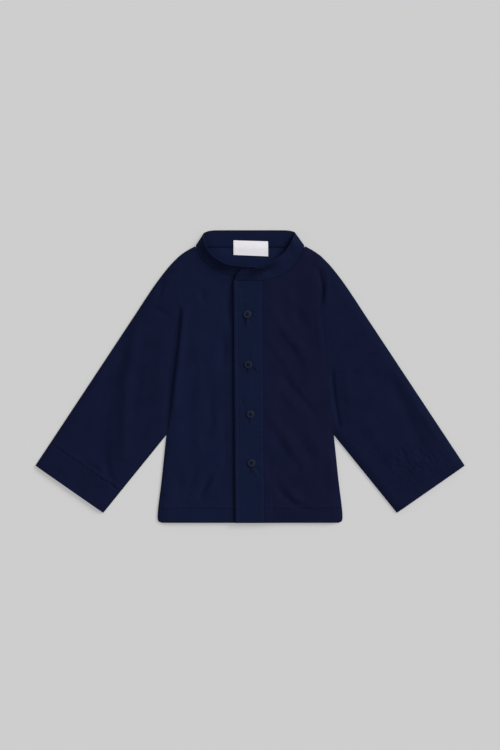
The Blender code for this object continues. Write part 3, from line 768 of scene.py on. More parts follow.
def sleeve_plan():
    """Rows across a left sleeve from its under-arm edge to its over-arm edge, armhole to cuff."""
    across = np.concatenate([[0.0], np.linspace(EDGE_SHARE, 1 - EDGE_SHARE, SLEEVE_COLUMNS), [1.0]])
    armhole = along(spline(ARMHOLE[::-1]), across)
    armhole[:, 0] += SEAM_HALF_GAP
    under = np.array([armhole[0], CUFF_INNER])
    over = joined(armhole[-1:], spline(OVER_ARM), np.array([OVER_ARM[-1], CUFF_OUTER]))
    cuff_share = [1 - CUFF_DEPTH / lengths_along(under)[-1], 1 - CUFF_DEPTH / lengths_along(over)[-1]]
    hem = along([along(under, cuff_share[:1])[0], along(over, cuff_share[1:])[0]], across)
    arm_rows = stops(ARM_LENGTH, [0.0, ARM_LENGTH], coarse=ARM_STEP) / ARM_LENGTH
    cuff_rows = stops(CUFF_DEPTH, [0.0, CUFF_DEPTH], coarse=CUFF_STEP) / CUFF_DEPTH
    arm = patch(armhole, hem, along(under, arm_rows * cuff_share[0]),
                along(over, arm_rows * cuff_share[1]), across, arm_rows)
    cuff = patch(hem, along(cuff_line, across), along([hem[0], CUFF_INNER], cuff_rows),
                 along([hem[-1], CUFF_OUTER], cuff_rows), across, cuff_rows)
    return np.concatenate([arm, cuff[1:]])


def turned_edge(edge, inner, rising):
    """Half a turn of cloth round one edge of each row, from the floor up or from the top down."""
    direction = (inner - edge) / np.linalg.norm(inner - edge, axis=-1, keepdims=True)
    centre = edge + direction * (FOLD_RADIUS + WALL / 2)
    angles = np.linspace(0, math.pi, FOLD_STEPS + 1)
    angles = angles if rising else angles[::-1]
    flat = centre[:, None] - direction[:, None] * FOLD_RADIUS * np.sin(angles)[:, None]
    height = WALL / 2 + FLOOR_GAP + FOLD_RADIUS * (1 - np.cos(angles))
    return np.concatenate([flat, np.broadcast_to(height[:, None], flat.shape[:2] + (1,))], -1)


def sleeve_height(points):
    from_cuff = ((np.array(CUFF_INNER) - on_left(points)) * cuff_down).sum(-1)
    place = (on_left(points) * cuff_across).sum(-1)
    return upper_height(points) + hem_relief(from_cuff, place, CUFF_DEPTH)


def build_sleeve(side, node):
    """One sleeve, on the left with side 1 and on the right with -1, as rings round the arm."""
    plan = sleeve_plan() * np.array([side, 1.0])
    near = turned_edge(plan[:, 0], plan[:, 1], rising=True)
    far = turned_edge(plan[:, -1], plan[:, -2], rising=False)
    above = np.dstack([plan[:, 1:-1], sleeve_height(plan[:, 1:-1])])
    tucked = inside_share(above[0, :, :2])
    above[0, :, 0] -= side * ARMHOLE_TUCK * tucked
    above[0, :, 2] -= ARMHOLE_DROP * tucked
    under = plan[:, -2:0:-UNDER_STRIDE]
    wave = np.clip(ripple(under, BACK_WAVE_SIZE, seed=7.0) + UNDER_WAVE_LEVEL, 0, 1)
    low = WALL / 2 + FLOOR_GAP + UNDER_WAVE * wave
    rings = np.concatenate([near, above, far, np.dstack([under, low])], 1)
    down_sleeve = (rings[..., :2] * np.array([side, 1.0]) * cuff_down).sum(-1)
    closed_rings = np.concatenate([rings, rings[:, :1]], 1)
    around = np.cumsum(np.linalg.norm(np.diff(closed_rings, axis=1), axis=2), axis=1)
    around = np.concatenate([np.zeros((len(rings), 1)), around], 1)
    grain = np.dstack([around, np.concatenate([down_sleeve, down_sleeve[:, :1]], 1)])
    if side > 0:
        rings, grain = rings[:, ::-1], grain[:, ::-1]
    piece = cloth(f"{node}_cloth", rings, grain, WALL, closed=True)
    cotton = shirting(f"{node}_cotton", SLEEVE_TONE)
    settle(piece, node, cotton)
    seam = along(cuff_line - CUFF_DEPTH * cuff_down, np.linspace(*CUFF_SEAM_REACH, CUFF_SEAM_STEPS))
    seam = seam * np.array([side, 1.0])
    stitched(f"cuff_stitches_{node.removeprefix('sleeve_')}",
             np.column_stack([seam, sleeve_height(seam) + WALL / 2]))


build_sleeve(1, "sleeve_left")
build_sleeve(-1, "sleeve_right")


# ================================================================ placket
# A doubled strip of the cotton down the left front's edge, lying over the right front. It is
# topstitched along both sides, and has an upright buttonhole for each button.

# The strip: its sizes, and how it lies over the left front
PLACKET_WALL = 1.1
PLACKET_RISE = 0.4
PLACKET_SETTLE = 0.55
PLACKET_WIDTH = 36.8
PLACKET_LENGTH = 313.8
PLACKET_TOP_TUCK = 2.0
PLACKET_TOP_DIP = 1.2
PLACKET_STITCH = 5.0
PLACKET_STEP = 1.0
PLACKET_HEM_SHARE = 0.5

# The free left edge, the crown and the stitch groove along each edge, and the puckers beside them
FREE_EDGE_LIFT = 0.8
FREE_EDGE_WIDTH = 4.0
SEWN_EDGE_SHARE = 0.5
EDGE_CROWN = 0.35
EDGE_CROWN_WIDTH = 1.5
EDGE_DROP = 0.25
STITCH_GROOVE = 0.22
GROOVE_WIDTH = 0.8
PLACKET_PUCKER = 0.14
PLACKET_PUCKER_REACH = 3.0
PLACKET_PUCKER_TURN = 0.72
PLACKET_PUCKER_DRIFTS = ((1.5, 0.09),)
PLACKET_PUCKER_SLANT = 0.1
PLACKET_WAVE = 0.12
PLACKET_WAVE_SIZE = 9.0
BUTTON_DENT = 0.3
BUTTON_DENT_WIDTH = 7.0

# Buttonholes: the slit, the stitches over its two lips and the bars at its two ends
SLIT_HALF_WIDTH = 0.3
SLIT_BOX_HEIGHT = 8.0
SLIT_BOX_Z = 5.0
LIP_PITCH = 0.42
LIP_REACH = 1.35
BAR_HALF_WIDTH = 1.2
BAR_STITCHES = 7
BAR_LENGTH = 1.0
BAR_GAP = 0.2
BUTTONHOLE_THREAD_RADIUS = 0.2
BUTTONHOLE_THREAD_BOW = 0.16
PLACKET_TONE = (0.97, 1.10, 1.06)

# Each button's place, its buttonhole's, and its turn and tilts in degrees, from the top one down
Fastening = namedtuple("Fastening", "x y hole_x hole_top hole_length turn tilt_x tilt_y")
FASTENINGS = [Fastening(-3.6, 80.6, -5.9, 82.0, 15.5, 18.0, -2.0, 3.0),
              Fastening(-2.1, 15.6, -2.9, 18.6, 14.0, -9.0, 1.0, -1.5),
              Fastening(0.6, -48.9, -0.4, -45.9, 14.0, 31.0, 1.5, 2.5),
              Fastening(1.9, -112.1, 1.2, -109.1, 14.0, 4.0, -1.0, 2.0)]

# Small pulls in the placket round each button, from the top one down.
PULLS = [
    Crease([(-9, 97), (-8.5, 91), (-8, 86)], 1.8, -0.6, 2),
    Crease([(0, 86.6), (5, 85.6), (10, 85)], 1.1, 0.45, 2),
    Crease([(0, 83.8), (5, 82.6), (11, 82)], 1.1, -0.5, 2),
    Crease([(1, 81), (6, 79.8), (11, 79.2)], 1.0, 0.45, 2),
    Crease([(0, 78.4), (5, 77), (10, 75.6)], 1.1, -0.5, 2),
    Crease([(-1, 77), (1, 71), (2, 65)], 1.6, -0.5, 2),
    Crease([(-4, 76), (-3, 70), (-2, 63)], 1.3, 0.4, 2),
    Crease([(8, 108), (9, 98), (8, 90)], 2.0, 0.4, 2),
    Crease([(-10, 118), (-9, 108), (-10, 99)], 2.4, -0.45, 2),
    Crease([(1, 12), (6, 7), (10, 2)], 1.6, -0.5, 2),
    Crease([(0, 20), (3, 26), (5, 32)], 1.6, 0.4, 2),
    Crease([(3, 13), (8, 12), (12, 10)], 1.4, 0.4, 2),
    Crease([(-7, 18), (-12, 19), (-16, 19)], 1.2, 0.4, 2),
    Crease([(-7, 14), (-11, 12), (-16, 11)], 1.3, -0.4, 2),
    Crease([(-5, -43), (-9, -35), (-12, -27)], 1.8, -0.6, 2),
    Crease([(5, -45), (9, -40), (12, -36)], 1.5, 0.45, 2),
    Crease([(-3, -55), (-6, -61), (-8, -68)], 1.5, 0.45, 2),
    Crease([(-5, -52), (-10, -57), (-14, -60)], 1.4, 0.45, 2),
    Crease([(-6, -56), (-9, -61), (-12, -67)], 1.2, -0.4, 2),
    Crease([(5, -107), (10, -99), (14, -93)], 1.9, -0.7, 2),
    Crease([(5, -117), (10, -122), (14, -126)], 1.9, -0.7, 2),
    Crease([(2, -119), (8, -127), (14, -132)], 1.7, 0.55, 2),
    Crease([(4, -104), (9, -92), (13, -85)], 1.7, 0.5, 2),
    Crease([(-4, -116), (-9, -121), (-13, -127)], 1.5, 0.45, 2),
    Crease([(-5, -112), (-10, -113), (-14, -113)], 1.3, -0.4, 2),
]


def placket_height(points):
    """Height of the strip's middle: its edges are crowned and its stitch lines drawn in. The left
    edge lies free and the right one is sewn flat."""
    x, y = points[..., 0], points[..., 1]
    from_left = x - placket_edge(PLACKET_LEFT, y)
    from_right = placket_edge(PLACKET_RIGHT, y) - x
    from_side = np.minimum(from_left, from_right)
    from_line = from_side - PLACKET_STITCH
    height = upper_height(points) + lap(points) + PLACKET_RISE
    height += PLACKET_HEM_SHARE * hem_relief(y - HEM_Y, x, HEM_DEPTH)
    height -= PLACKET_SETTLE * smooth_step(1 - from_right / PLACKET_STITCH)
    height += FREE_EDGE_LIFT * bell(from_left, FREE_EDGE_WIDTH)
    free = np.where(from_left < from_right, 1.0, SEWN_EDGE_SHARE)
    height += free * EDGE_CROWN * bell(from_side - PLACKET_STITCH / 2, EDGE_CROWN_WIDTH)
    height -= free * EDGE_DROP * bell(from_side, GROOVE_WIDTH)
    height -= free * STITCH_GROOVE * bell(from_line, GROOVE_WIDTH)
    wave = pucker_wave(y, PLACKET_PUCKER_TURN, PLACKET_PUCKER_DRIFTS, x * PLACKET_PUCKER_SLANT)
    height += PLACKET_PUCKER * wave * bell(from_line, PLACKET_PUCKER_REACH)
    height += PLACKET_WAVE * ripple(points, PLACKET_WAVE_SIZE, seed=21.0)
    for button in FASTENINGS:
        height -= BUTTON_DENT * bell(np.hypot(x - button.x, y - button.y), BUTTON_DENT_WIDTH)
    height += creased(points, PULLS)
    return height - tuck(PLACKET_LEFT[0][1] - y, PLACKET_TOP_DIP)


placket_across = stops(
    PLACKET_WIDTH, [0.0, PLACKET_STITCH, PLACKET_WIDTH - PLACKET_STITCH, PLACKET_WIDTH],
    coarse=PLACKET_STEP) / PLACKET_WIDTH
placket_up = stops(PLACKET_LENGTH, [0.0, HEM_DEPTH, PLACKET_LENGTH],
                   coarse=PLACKET_STEP) / PLACKET_LENGTH
top_left, bottom_left, top_right, bottom_right = [
    np.array(corner) for corner in PLACKET_LEFT + PLACKET_RIGHT]
top_left[1] += PLACKET_TOP_TUCK
top_right[1] += PLACKET_TOP_TUCK
placket_flat = patch(along([bottom_left, bottom_right], placket_across),
                     along([top_left, top_right], placket_across),
                     along([bottom_left, top_left], placket_up),
                     along([bottom_right, top_right], placket_up), placket_across, placket_up)
placket = cloth("placket_cloth", np.dstack([placket_flat, placket_height(placket_flat)]),
                placket_flat, PLACKET_WALL, rim=0.3)


def on_placket(plan):
    """Points in plan, raised to the face of the strip."""
    return np.column_stack([plan, placket_height(plan) + PLACKET_WALL / 2])


def cut_slit(button):
    """Opens one buttonhole through the placket with a narrow box."""
    centre = Vector((button.hole_x, button.hole_top - button.hole_length / 2, SLIT_BOX_Z)) * MM
    bpy.ops.mesh.primitive_cube_add(size=1.0, location=centre)
    box = bpy.context.object
    box.scale = Vector((2 * SLIT_HALF_WIDTH, button.hole_length, SLIT_BOX_HEIGHT)) * MM
    cut = placket.modifiers.new("slit", "BOOLEAN")
    cut.operation = "DIFFERENCE"
    cut.object = box
    apply_modifiers(placket)
    bpy.data.objects.remove(box)


def buttonhole_runs(button):
    """Starts and ends of the close stitches that bind both lips and both ends of a slit."""
    y = button.hole_top - np.arange(BAR_GAP, button.hole_length, LIP_PITCH)
    starts, ends = [], []
    for side in (-1, 1):
        starts.append(np.column_stack([np.full(len(y), button.hole_x + side * SLIT_HALF_WIDTH), y]))
        ends.append(np.column_stack([np.full(len(y), button.hole_x + side * LIP_REACH), y]))
    x = button.hole_x + np.linspace(-BAR_HALF_WIDTH, BAR_HALF_WIDTH, BAR_STITCHES)
    hole_bottom = button.hole_top - button.hole_length
    for bar_y in (button.hole_top + BAR_GAP, hole_bottom - BAR_GAP - BAR_LENGTH):
        starts.append(np.column_stack([x, np.full(len(x), bar_y)]))
        ends.append(np.column_stack([x, np.full(len(x), bar_y + BAR_LENGTH)]))
    return np.concatenate(starts), np.concatenate(ends)


for button in FASTENINGS:
    cut_slit(button)
settle(placket, "placket", shirting("placket_cotton", PLACKET_TONE))
starts, ends = [on_placket(np.concatenate(plan))
                for plan in zip(*[buttonhole_runs(button) for button in FASTENINGS])]
threads("buttonhole_stitches", starts, ends, np.tile([0.0, 0.0, 1.0], (len(starts), 1)),
        BUTTONHOLE_THREAD_RADIUS, BUTTONHOLE_THREAD_BOW, NAVY_THREAD)
stitch_y = np.arange(HEM_Y + 1.0, PLACKET_LEFT[0][1], SEAM_STEP)
for name, edge, inward in (("placket_stitches_free", PLACKET_LEFT, PLACKET_STITCH),
                           ("placket_stitches_sewn", PLACKET_RIGHT, -PLACKET_STITCH)):
    stitch_x = placket_edge(edge, stitch_y) + inward
    stitched(name, on_placket(np.column_stack([stitch_x, stitch_y])))


# ================================================================ collar
# A narrow band of doubled cotton that stands round the neck, sewn to the neck edge along its
# foot and topstitched. Its left end laps over the right one, with a rounded corner.

# The band: its sizes, and how its foot sits on the cloth below
COLLAR_WALL = 1.2
BAND_HEIGHT = 21.5
BAND_CORNER = 8.0
BAND_END_SHARE = 0.3
TOP_Y = 190.0
FOOT_RAISE = -0.12
FOOT_ON_PLACKET = 0.4

# How the band leans: it runs out nearly flat for a share of its width, rises by a share of its
# height there, then turns up. Along the left end, its over part, the shares change with x: the
# first row of each pair gives x and the second the share.
OVER_PART = 0.2
BAND_FLAT_SHARE = 0.6
BAND_FLAT_RISE = 0.1
OVER_FLAT = ((2.0, 14.0, 36.0, 50.0), (0.5, 0.66, 0.62, 0.6))
OVER_FLAT_RISE = ((2.0, 14.0, 36.0, 50.0), (0.42, 0.03, 0.05, 0.1))
OVER_RISE = ((-20.0, 2.0, 15.6, 28.4, 40.0, 51.6), (0.32, 0.36, 0.85, 1.35, 2.1, 1.0))
UNDER_RISE_SHARE = 0.60
LEAST_RISE = 4.0
LAID = 0.65
OVER_BACK = 1.5

# Waves of the part that stands, and a hollow where the left end is pulled down by the placket
STAND_FROM, STAND_RUN = 2.0, 3.0
BAND_WAVE = 0.45
BAND_WAVE_SIZE = 9.0
BAND_PUCKER = 0.4
BAND_PUCKER_SIZE = 4.0
BAND_HOLLOW = 3.2
HOLLOW_X, HOLLOW_LENGTH = 26.0, 10.0
HOLLOW_SHARE_UP, HOLLOW_SHARE_WIDTH = 0.55, 0.22

# Topstitching along both long edges, and the spacing of the band's points
BAND_STITCH = 1.6
BAND_STITCH_SLOPE = 0.03
BAND_STITCH_ENDS = 6
BAND_STEP = 1.5
BAND_STEP_UP = 1.2
BAND_LINE_STEPS = 4

# Places along the band from its left end to its right one, on its foot and on its top line. Where
# no heights are given, they follow the cloth under the band.
Station = namedtuple("Station", "seam_x seam_y top_x top_y seam_z top_z")

COLLAR = [
    Station(-20.2, 125.1, -15.6, 139.1, None, None),
    Station(-14.4, 124.9, -10.6, 138.8, None, None),
    Station(-2.6, 124.7, 0.0, 138.5, None, None),
    Station(15.6, 124.9, 13.0, 140.4, None, None),
    Station(28.4, 127.4, 26.0, 146.9, None, None),
    Station(40.0, 131.8, 35.1, 152.8, None, None),
    Station(51.6, 139.0, 42.9, 159.9, None, None),
    Station(60.9, 149.8, 49.4, 168.4, None, None),
    Station(67.2, 161.4, 54.6, 177.8, None, None),
    Station(69.6, 167.3, 57.2, 184.2, 4.2, 5.0),
    Station(70.0, 170.0, 57.8, 186.8, 2.7, 2.8),
    Station(67.2, 170.4, 55.0, 188.6, OVER_BACK, LAID),
    Station(60.0, 168.9, 49.0, 189.7, OVER_BACK, LAID),
    Station(40.0, 168.5, 36.0, TOP_Y, OVER_BACK, LAID),
    Station(0.0, 168.5, 0.0, TOP_Y, OVER_BACK, LAID),
    Station(-40.0, 168.5, -36.0, TOP_Y, OVER_BACK, LAID),
    Station(-60.0, 168.9, -49.0, 189.7, OVER_BACK, LAID),
    Station(-67.2, 170.4, -56.4, 188.2, OVER_BACK, LAID),
    Station(-70.0, 170.0, -59.6, 186.0, 2.7, 2.8),
    Station(-69.6, 167.3, -59.8, 182.8, 4.2, 5.0),
    Station(-67.2, 160.9, -59.0, 175.0, None, None),
    Station(-61.8, 151.8, -54.6, 164.5, None, None),
    Station(-54.2, 144.8, -48.1, 156.7, None, None),
    Station(-43.9, 139.0, -40.3, 150.8, None, None),
    Station(-32.3, 133.8, -29.9, 145.6, None, None),
    Station(-18.0, 129.2, -15.6, 143.7, None, None),
    Station(0.0, 126.0, 0.0, 142.4, None, None),
    Station(12.4, 125.0, 13.0, 141.2, None, None),
]


def band_edges():
    """Foot and top line of the band in space."""
    foot, top = [], []
    for index, station in enumerate(COLLAR):
        seam_z, top_z = station.seam_z, station.top_z
        if seam_z is None:
            place = np.array([[station.seam_x, station.seam_y]])
            lapped = index < len(COLLAR) // 2
            under = float(upper_height(place)[0] + (lap(place)[0] if lapped else 0.0))
            over_placket = lapped and station.seam_x < NECK_LEFT[0].x
            seam_z = under + (FOOT_ON_PLACKET if over_placket else FOOT_RAISE)
            run = math.hypot(station.top_x - station.seam_x, station.top_y - station.seam_y)
            rise = math.sqrt(max(BAND_HEIGHT ** 2 - run ** 2, LEAST_RISE ** 2))
            share = np.interp(station.seam_x, *OVER_RISE) if lapped else UNDER_RISE_SHARE
            top_z = under + share * rise
        foot.append((station.seam_x, station.seam_y, seam_z))
        top.append((station.top_x, station.top_y, top_z))
    lines = spline(foot, BAND_LINE_STEPS), spline(top, BAND_LINE_STEPS)
    for line in lines:
        line[:, 2] = np.maximum(line[:, 2], LAID)
    return lines


def resampled(line, source_shares, shares):
    """A line's points moved to new shares of the way along it."""
    return np.stack([np.interp(shares, source_shares, column) for column in line.T], 1)


foot_line, top_line = band_edges()
band_lengths = lengths_along(foot_line)
band_length = band_lengths[-1]
band_shares = stops(band_length, [0.0, band_length], coarse=BAND_STEP) / band_length
foot_line, top_line = [resampled(line, band_lengths / band_length, band_shares)
                       for line in (foot_line, top_line)]
from_end = np.minimum(np.minimum(band_shares, 1 - band_shares) * band_length, BAND_CORNER)
rounding = np.sqrt(1 - (1 - from_end / BAND_CORNER) ** 2)
reach = BAND_END_SHARE + (1 - BAND_END_SHARE) * rounding
over = band_shares < OVER_PART
flat_share = np.where(over, np.interp(foot_line[:, 0], *OVER_FLAT), BAND_FLAT_SHARE)
flat_rise = np.where(over, np.interp(foot_line[:, 0], *OVER_FLAT_RISE), BAND_FLAT_RISE)
bend = foot_line + flat_share[:, None] * (top_line - foot_line)
bend[:, 2] = foot_line[:, 2] + flat_rise * (top_line[:, 2] - foot_line[:, 2])


def on_band(shares_up):
    """Points of the band, one row for each place along it, at these shares of its height."""
    t = np.broadcast_to(np.asarray(shares_up), (len(foot_line), np.shape(shares_up)[-1]))[..., None]
    rows = ((1 - t) ** 2 * foot_line[:, None] + 2 * t * (1 - t) * bend[:, None]
            + t * t * top_line[:, None])
    place = np.dstack([t[..., 0] * BAND_HEIGHT,
                       np.broadcast_to((band_shares * band_length)[:, None], t.shape[:2])])
    standing = smooth_step((rows[..., 2] - STAND_FROM) / STAND_RUN)
    hollow = (bell(rows[..., 0] - HOLLOW_X, HOLLOW_LENGTH)
              * bell(t[..., 0] - HOLLOW_SHARE_UP, HOLLOW_SHARE_WIDTH))
    wave = BAND_WAVE * ripple(place, BAND_WAVE_SIZE, seed=11.0)
    wave += BAND_PUCKER * over[:, None] * ripple(place, BAND_PUCKER_SIZE, seed=13.0)
    rows[..., 2] += wave * standing * t[..., 0] - BAND_HOLLOW * hollow * over[:, None]
    return rows, place


band_up = stops(BAND_HEIGHT, [0.0, BAND_STITCH, BAND_HEIGHT], coarse=BAND_STEP_UP) / BAND_HEIGHT
band_rows, band_grain = on_band(reach[:, None] * band_up[None])
collar = cloth("collar_cloth", band_rows, band_grain, COLLAR_WALL, rim=0.35)
settle(collar, "collar", shirting("collar_cotton"))

for name, distance in (("collar_stitches_foot", BAND_STITCH),
                       ("collar_stitches_top", BAND_HEIGHT - BAND_STITCH)):
    share = distance / BAND_HEIGHT
    lower, line, upper = [on_band(reach[:, None] * (share + change))[0][:, 0]
                          for change in (-BAND_STITCH_SLOPE, 0.0, BAND_STITCH_SLOPE)]
    outward = np.cross(np.gradient(line, axis=0), upper - lower)
    outward /= np.linalg.norm(outward, axis=1, keepdims=True)
    outward *= np.where(outward[:, 2:] < 0, -1, 1)
    inner = slice(BAND_STITCH_ENDS, -BAND_STITCH_ENDS)
    stitched(name, (line + outward * COLLAR_WALL / 2)[inner], ups=outward[inner])


# ================================================================ label
# A plain white woven tape, bare, sewn by its two short ends over the seam at the back of the neck.

LABEL_CORNERS = [Point(-21.6, 176.8), Point(23.3, 175.5), Point(-21.6, 157.9), Point(23.6, 156.0)]
LABEL_COLUMNS, LABEL_ROWS = 46, 22
LABEL_WALL = 0.5
LABEL_REST = 1.5
LABEL_STEP = 0.95
LABEL_STEP_END = 0.6
LABEL_TOP_DIP = 0.15
LABEL_TOP_FROM, LABEL_TOP_RUN = 0.7, 0.3
LABEL_BOW = 0.2
LABEL_SEAM_SHARES = (("label_stitches_left", 0.975), ("label_stitches_right", 0.025))
LABEL_WHITE = (0.88, 0.86, 0.90)
LABEL_SHADE = (0.78, 0.76, 0.80)
LABEL_THREADS = 3200.0

label_across, label_up = np.linspace(0, 1, LABEL_COLUMNS), np.linspace(0, 1, LABEL_ROWS)
label_flat = patch(along(LABEL_CORNERS[2:], label_across), along(LABEL_CORNERS[:2], label_across),
                   along([LABEL_CORNERS[2], LABEL_CORNERS[0]], label_up),
                   along([LABEL_CORNERS[3], LABEL_CORNERS[1]], label_up), label_across, label_up)


def label_height(share_across, share_up):
    """The tape passes over the foot of the collar band and hangs free below it."""
    step = LABEL_STEP * smooth_step(share_up / LABEL_STEP_END)
    dip = LABEL_TOP_DIP * smooth_step((share_up - LABEL_TOP_FROM) / LABEL_TOP_RUN)
    bow = LABEL_BOW * np.sin(math.pi * share_across) * (1 - share_up)
    return LABEL_REST + step - dip + bow


label = cloth("label_tape", np.dstack([label_flat, label_height(label_across[None],
                                                                label_up[:, None])]),
              label_flat, LABEL_WALL, rim=0.12)
label_weave = shirting("label_weave", dark=LABEL_SHADE, light=LABEL_WHITE, per_metre=LABEL_THREADS)
settle(label, "label", label_weave)
WHITE_THREAD = thread_finish("white_thread", LABEL_WHITE)
for name, share in LABEL_SEAM_SHARES:
    ends = [along(LABEL_CORNERS[2:], [share])[0], along(LABEL_CORNERS[:2], [share])[0]]
    line = along(ends, label_up)
    height = label_height(share, label_up) + LABEL_WALL / 2
    stitched(name, np.column_stack([line, height]), WHITE_THREAD)


# ================================================================ buttons
# Four navy plastic buttons with a raised rim and four holes, sewn to the right front and passed
# through the placket. Each is turned and tilted a little differently by its thread.

# The blank and its edge, and the steps turned into its face and its back, each a width inwards
# and a height: up to the rim, over it, down into the dish and across to the middle
BUTTON_RADIUS = 5.75
BUTTON_SHOULDER = 0.5
BUTTON_EDGE = 1.2
BUTTON_MIDDLE = 0.9
BUTTON_SIDES = 56
FACE_STEPS = [(0.5, 0.75), (0.7, 0.0), (1.2, -0.85), (0.8, -0.05)]
BACK_STEPS = [(1.2, 0.3)]
BUTTON_ROUNDING = 0.28
ROUNDING_ANGLE = 20
SMOOTH_ANGLE = 35
BUTTON_SEAT = 0.05
SEAT_PLACES = 24

# Holes, and the strands of thread that cross in them
HOLE_RADIUS = 0.8
HOLE_CIRCLE = 1.75
HOLE_SIDES = 16
HOLE_PIN_LENGTH = 8.0
STRANDS = (-0.32, 0.0, 0.32)
STRAND_Z = 1.1
CROSSING_RISE = 0.25
STRAND_RADIUS = 0.24
STRAND_BOW = 0.75

# Colours and finish. The scales are those of the cloud in the plastic and of its fine rubbing.
# The button thread is darker than the other navy thread. This is partly painted shade, standing in
# for the shade in each button's holes and dish.
BUTTON_THREAD_PAINTED_SHADE = (0.0012, 0.0018, 0.0060)
BUTTON_NAVY = (0.0050, 0.0080, 0.0215)
BUTTON_SHEEN = (0.0090, 0.0132, 0.0315)
BUTTON_CLOUD_SCALE = 420.0
BUTTON_RUBBING_SCALE = 2600.0
BUTTON_SHINE = 0.15
BUTTON_SMOOTHEST, BUTTON_ROUGHEST = 0.34, 0.52


def button_plastic():
    """Cast polyester with a faint cloud in its colour and fine rubbing on its face."""
    result, tree, inputs = plain_finish("button_navy", BUTTON_SHINE)
    place = add(tree, "ShaderNodeTexCoord", {})
    cloud = add(tree, "ShaderNodeTexNoise", {
        "Vector": place.outputs["Object"], "Scale": BUTTON_CLOUD_SCALE, "Detail": 3.0,
        "Distortion": 1.2})
    colour = add(tree, "ShaderNodeMix", {0: cloud.outputs[0], 6: (*BUTTON_NAVY, 1.0),
                                         7: (*BUTTON_SHEEN, 1.0)}, data_type="RGBA")
    rubbed = add(tree, "ShaderNodeTexNoise", {
        "Vector": place.outputs["Object"], "Scale": BUTTON_RUBBING_SCALE, "Detail": 2.0})
    rough = add(tree, "ShaderNodeMapRange", {
        "Value": rubbed.outputs[0], "To Min": BUTTON_SMOOTHEST, "To Max": BUTTON_ROUGHEST})
    tree.links.new(colour.outputs[2], inputs["Base Color"])
    tree.links.new(rough.outputs[0], inputs["Roughness"])
    return result


def hole_place(quarter):
    """The middle of one of the four holes, in plan."""
    angle = math.pi / 4 + quarter * math.pi / 2
    return HOLE_CIRCLE * math.cos(angle), HOLE_CIRCLE * math.sin(angle)


def turn_face(made, looking, steps):
    """Insets the faces that look up (1) or down (-1) by these widths and heights, one by one."""
    for face in made.data.polygons:
        face.select = looking * face.normal.z > 0.5
    bpy.ops.object.mode_set(mode="EDIT")
    bpy.ops.mesh.select_mode(type="FACE")
    for width, height in steps:
        bpy.ops.mesh.inset(thickness=width * MM, depth=height * MM)
    bpy.ops.object.mode_set(mode="OBJECT")


def make_button():
    """One button at the origin, lying on its back: a turned rim, a dished face and four holes."""
    bpy.ops.mesh.primitive_cylinder_add(
        vertices=BUTTON_SIDES, radius=(BUTTON_RADIUS - BUTTON_SHOULDER) * MM,
        depth=BUTTON_EDGE * MM, location=(0, 0, BUTTON_MIDDLE * MM))
    made = bpy.context.object
    bpy.ops.object.transform_apply(location=True, rotation=True, scale=True)
    turn_face(made, 1, FACE_STEPS)
    turn_face(made, -1, BACK_STEPS)
    rounded = made.modifiers.new("rounded", "BEVEL")
    rounded.width = BUTTON_ROUNDING * MM
    rounded.segments = 3
    rounded.limit_method = "ANGLE"
    rounded.angle_limit = math.radians(ROUNDING_ANGLE)
    for quarter in range(4):
        bpy.ops.mesh.primitive_cylinder_add(
            vertices=HOLE_SIDES, radius=HOLE_RADIUS * MM, depth=HOLE_PIN_LENGTH * MM,
            location=Vector((*hole_place(quarter), 0)) * MM)
        pin = bpy.context.object
        hole = made.modifiers.new("hole", "BOOLEAN")
        hole.operation = "DIFFERENCE"
        hole.object = pin
        apply_modifiers(made)
        bpy.data.objects.remove(pin)
    bpy.ops.object.select_all(action="DESELECT")
    made.select_set(True)
    bpy.context.view_layer.objects.active = made
    bpy.ops.object.shade_smooth_by_angle(angle=math.radians(SMOOTH_ANGLE))
    return made


def button_place(button):
    """Where a button lies: turned and tilted, on the highest cloth under its rim."""
    turns = np.linspace(0, 2 * math.pi, SEAT_PLACES)
    ring = np.column_stack([button.x + BUTTON_RADIUS * np.cos(turns),
                            button.y + BUTTON_RADIUS * np.sin(turns)])
    seat = float(placket_height(ring).max()) + PLACKET_WALL / 2 + BUTTON_SEAT
    return (Matrix.Translation(Vector((button.x, button.y, seat)) * MM)
            @ Matrix.Rotation(math.radians(button.tilt_x), 4, "X")
            @ Matrix.Rotation(math.radians(button.tilt_y), 4, "Y")
            @ Matrix.Rotation(math.radians(button.turn), 4, "Z"))


def sew_on(name, place):
    """Thread through a button's holes: two crossing bundles of strands from hole to hole."""
    starts, ends = [], []
    for pair in (0, 1):
        across, up = hole_place(pair)
        for strand in STRANDS:
            beside = np.array([-up, across]) / HOLE_CIRCLE * strand
            for end, side in ((starts, -1), (ends, 1)):
                spot = Vector((side * across + beside[0], side * up + beside[1],
                               STRAND_Z + CROSSING_RISE * pair)) * MM
                end.append(list(place @ spot / MM))
    ups = np.array([list(place.to_3x3() @ Vector((0, 0, 1)))] * len(starts))
    threads(name, np.array(starts), np.array(ends), ups, STRAND_RADIUS, STRAND_BOW,
            PAINTED_SHADE_THREAD)


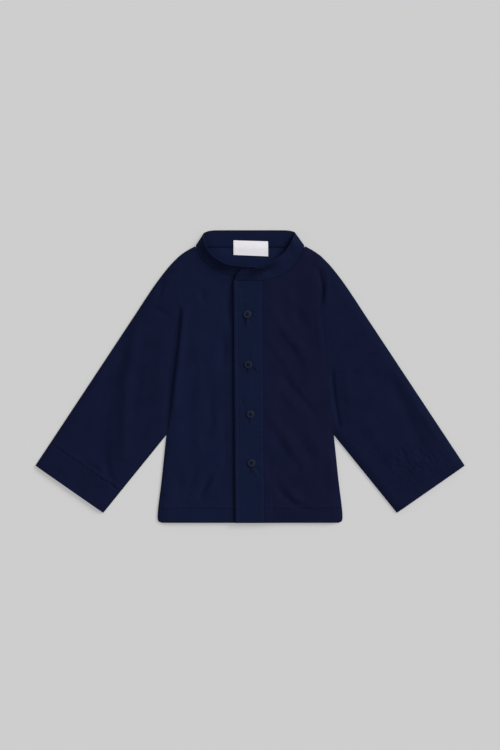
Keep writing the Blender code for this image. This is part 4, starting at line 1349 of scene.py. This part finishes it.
pattern_button = make_button()
NAVY_PLASTIC = button_plastic()
# Thread that is partly painted shade, for the dark middle of each button.
PAINTED_SHADE_THREAD = thread_finish("button_thread_painted_shade", BUTTON_THREAD_PAINTED_SHADE)
for number, button in enumerate(FASTENINGS, 1):
    place = button_place(button)
    mesh = pattern_button.data.copy()
    mesh.transform(place)
    mesh.materials.clear()
    mesh.materials.append(NAVY_PLASTIC)
    piece = placed(f"button_{number}_plastic", mesh)
    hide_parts(f"button_{number}")
    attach(piece, "root")
    sew_on(f"button_{number}_thread", place)
bpy.data.objects.remove(pattern_button)


# ================================================================ floor, light and camera
# A plain pale floor under soft light from above the wearer's left shoulder, seen straight down.

FLOOR_SIZE = 9.0
FLOOR_GREY = (0.30, 0.30, 0.30)
FLOOR_GLOW = 0.317
SKY = 0.50
SUN = 2.78
SUN_WIDTH = 30
SUN_FROM = (0.72, 0.50, 0.60)
VIEW_CENTRE = (-0.000065, 0.00195)
VIEW_HEIGHT = 2.5
VIEW_SPAN = 0.975
SENSOR = 24.0

bpy.ops.mesh.primitive_plane_add(size=FLOOR_SIZE, location=(0, 0, 0))
floor = bpy.context.object
floor.name = "floor"
floor_paper, _, floor_inputs = plain_finish("floor_paper", shine=0.0, roughness=1.0)
floor_inputs["Base Color"].default_value = (*FLOOR_GREY, 1)
floor_inputs["Emission Color"].default_value = (1, 1, 1, 1)
floor_inputs["Emission Strength"].default_value = FLOOR_GLOW
floor.data.materials.append(floor_paper)

world = bpy.data.worlds.new("soft_light")
world.use_nodes = True
world.node_tree.nodes["Background"].inputs[0].default_value = (1, 1, 1, 1)
world.node_tree.nodes["Background"].inputs[1].default_value = SKY
bpy.context.scene.world = world

bpy.ops.object.light_add(type="SUN", location=(1, 1, 2))
sun = bpy.context.object
sun.data.energy = SUN
sun.data.angle = math.radians(SUN_WIDTH)
sun.rotation_euler = Vector(SUN_FROM).to_track_quat("Z", "Y").to_euler()

camera = placed("camera", bpy.data.cameras.new("camera"))
camera.location = (*VIEW_CENTRE, VIEW_HEIGHT)
camera.data.sensor_fit = "VERTICAL"
camera.data.sensor_height = SENSOR
camera.data.lens = SENSOR * VIEW_HEIGHT / VIEW_SPAN
bpy.context.scene.camera = camera
bpy.context.scene.view_settings.view_transform = "Standard"
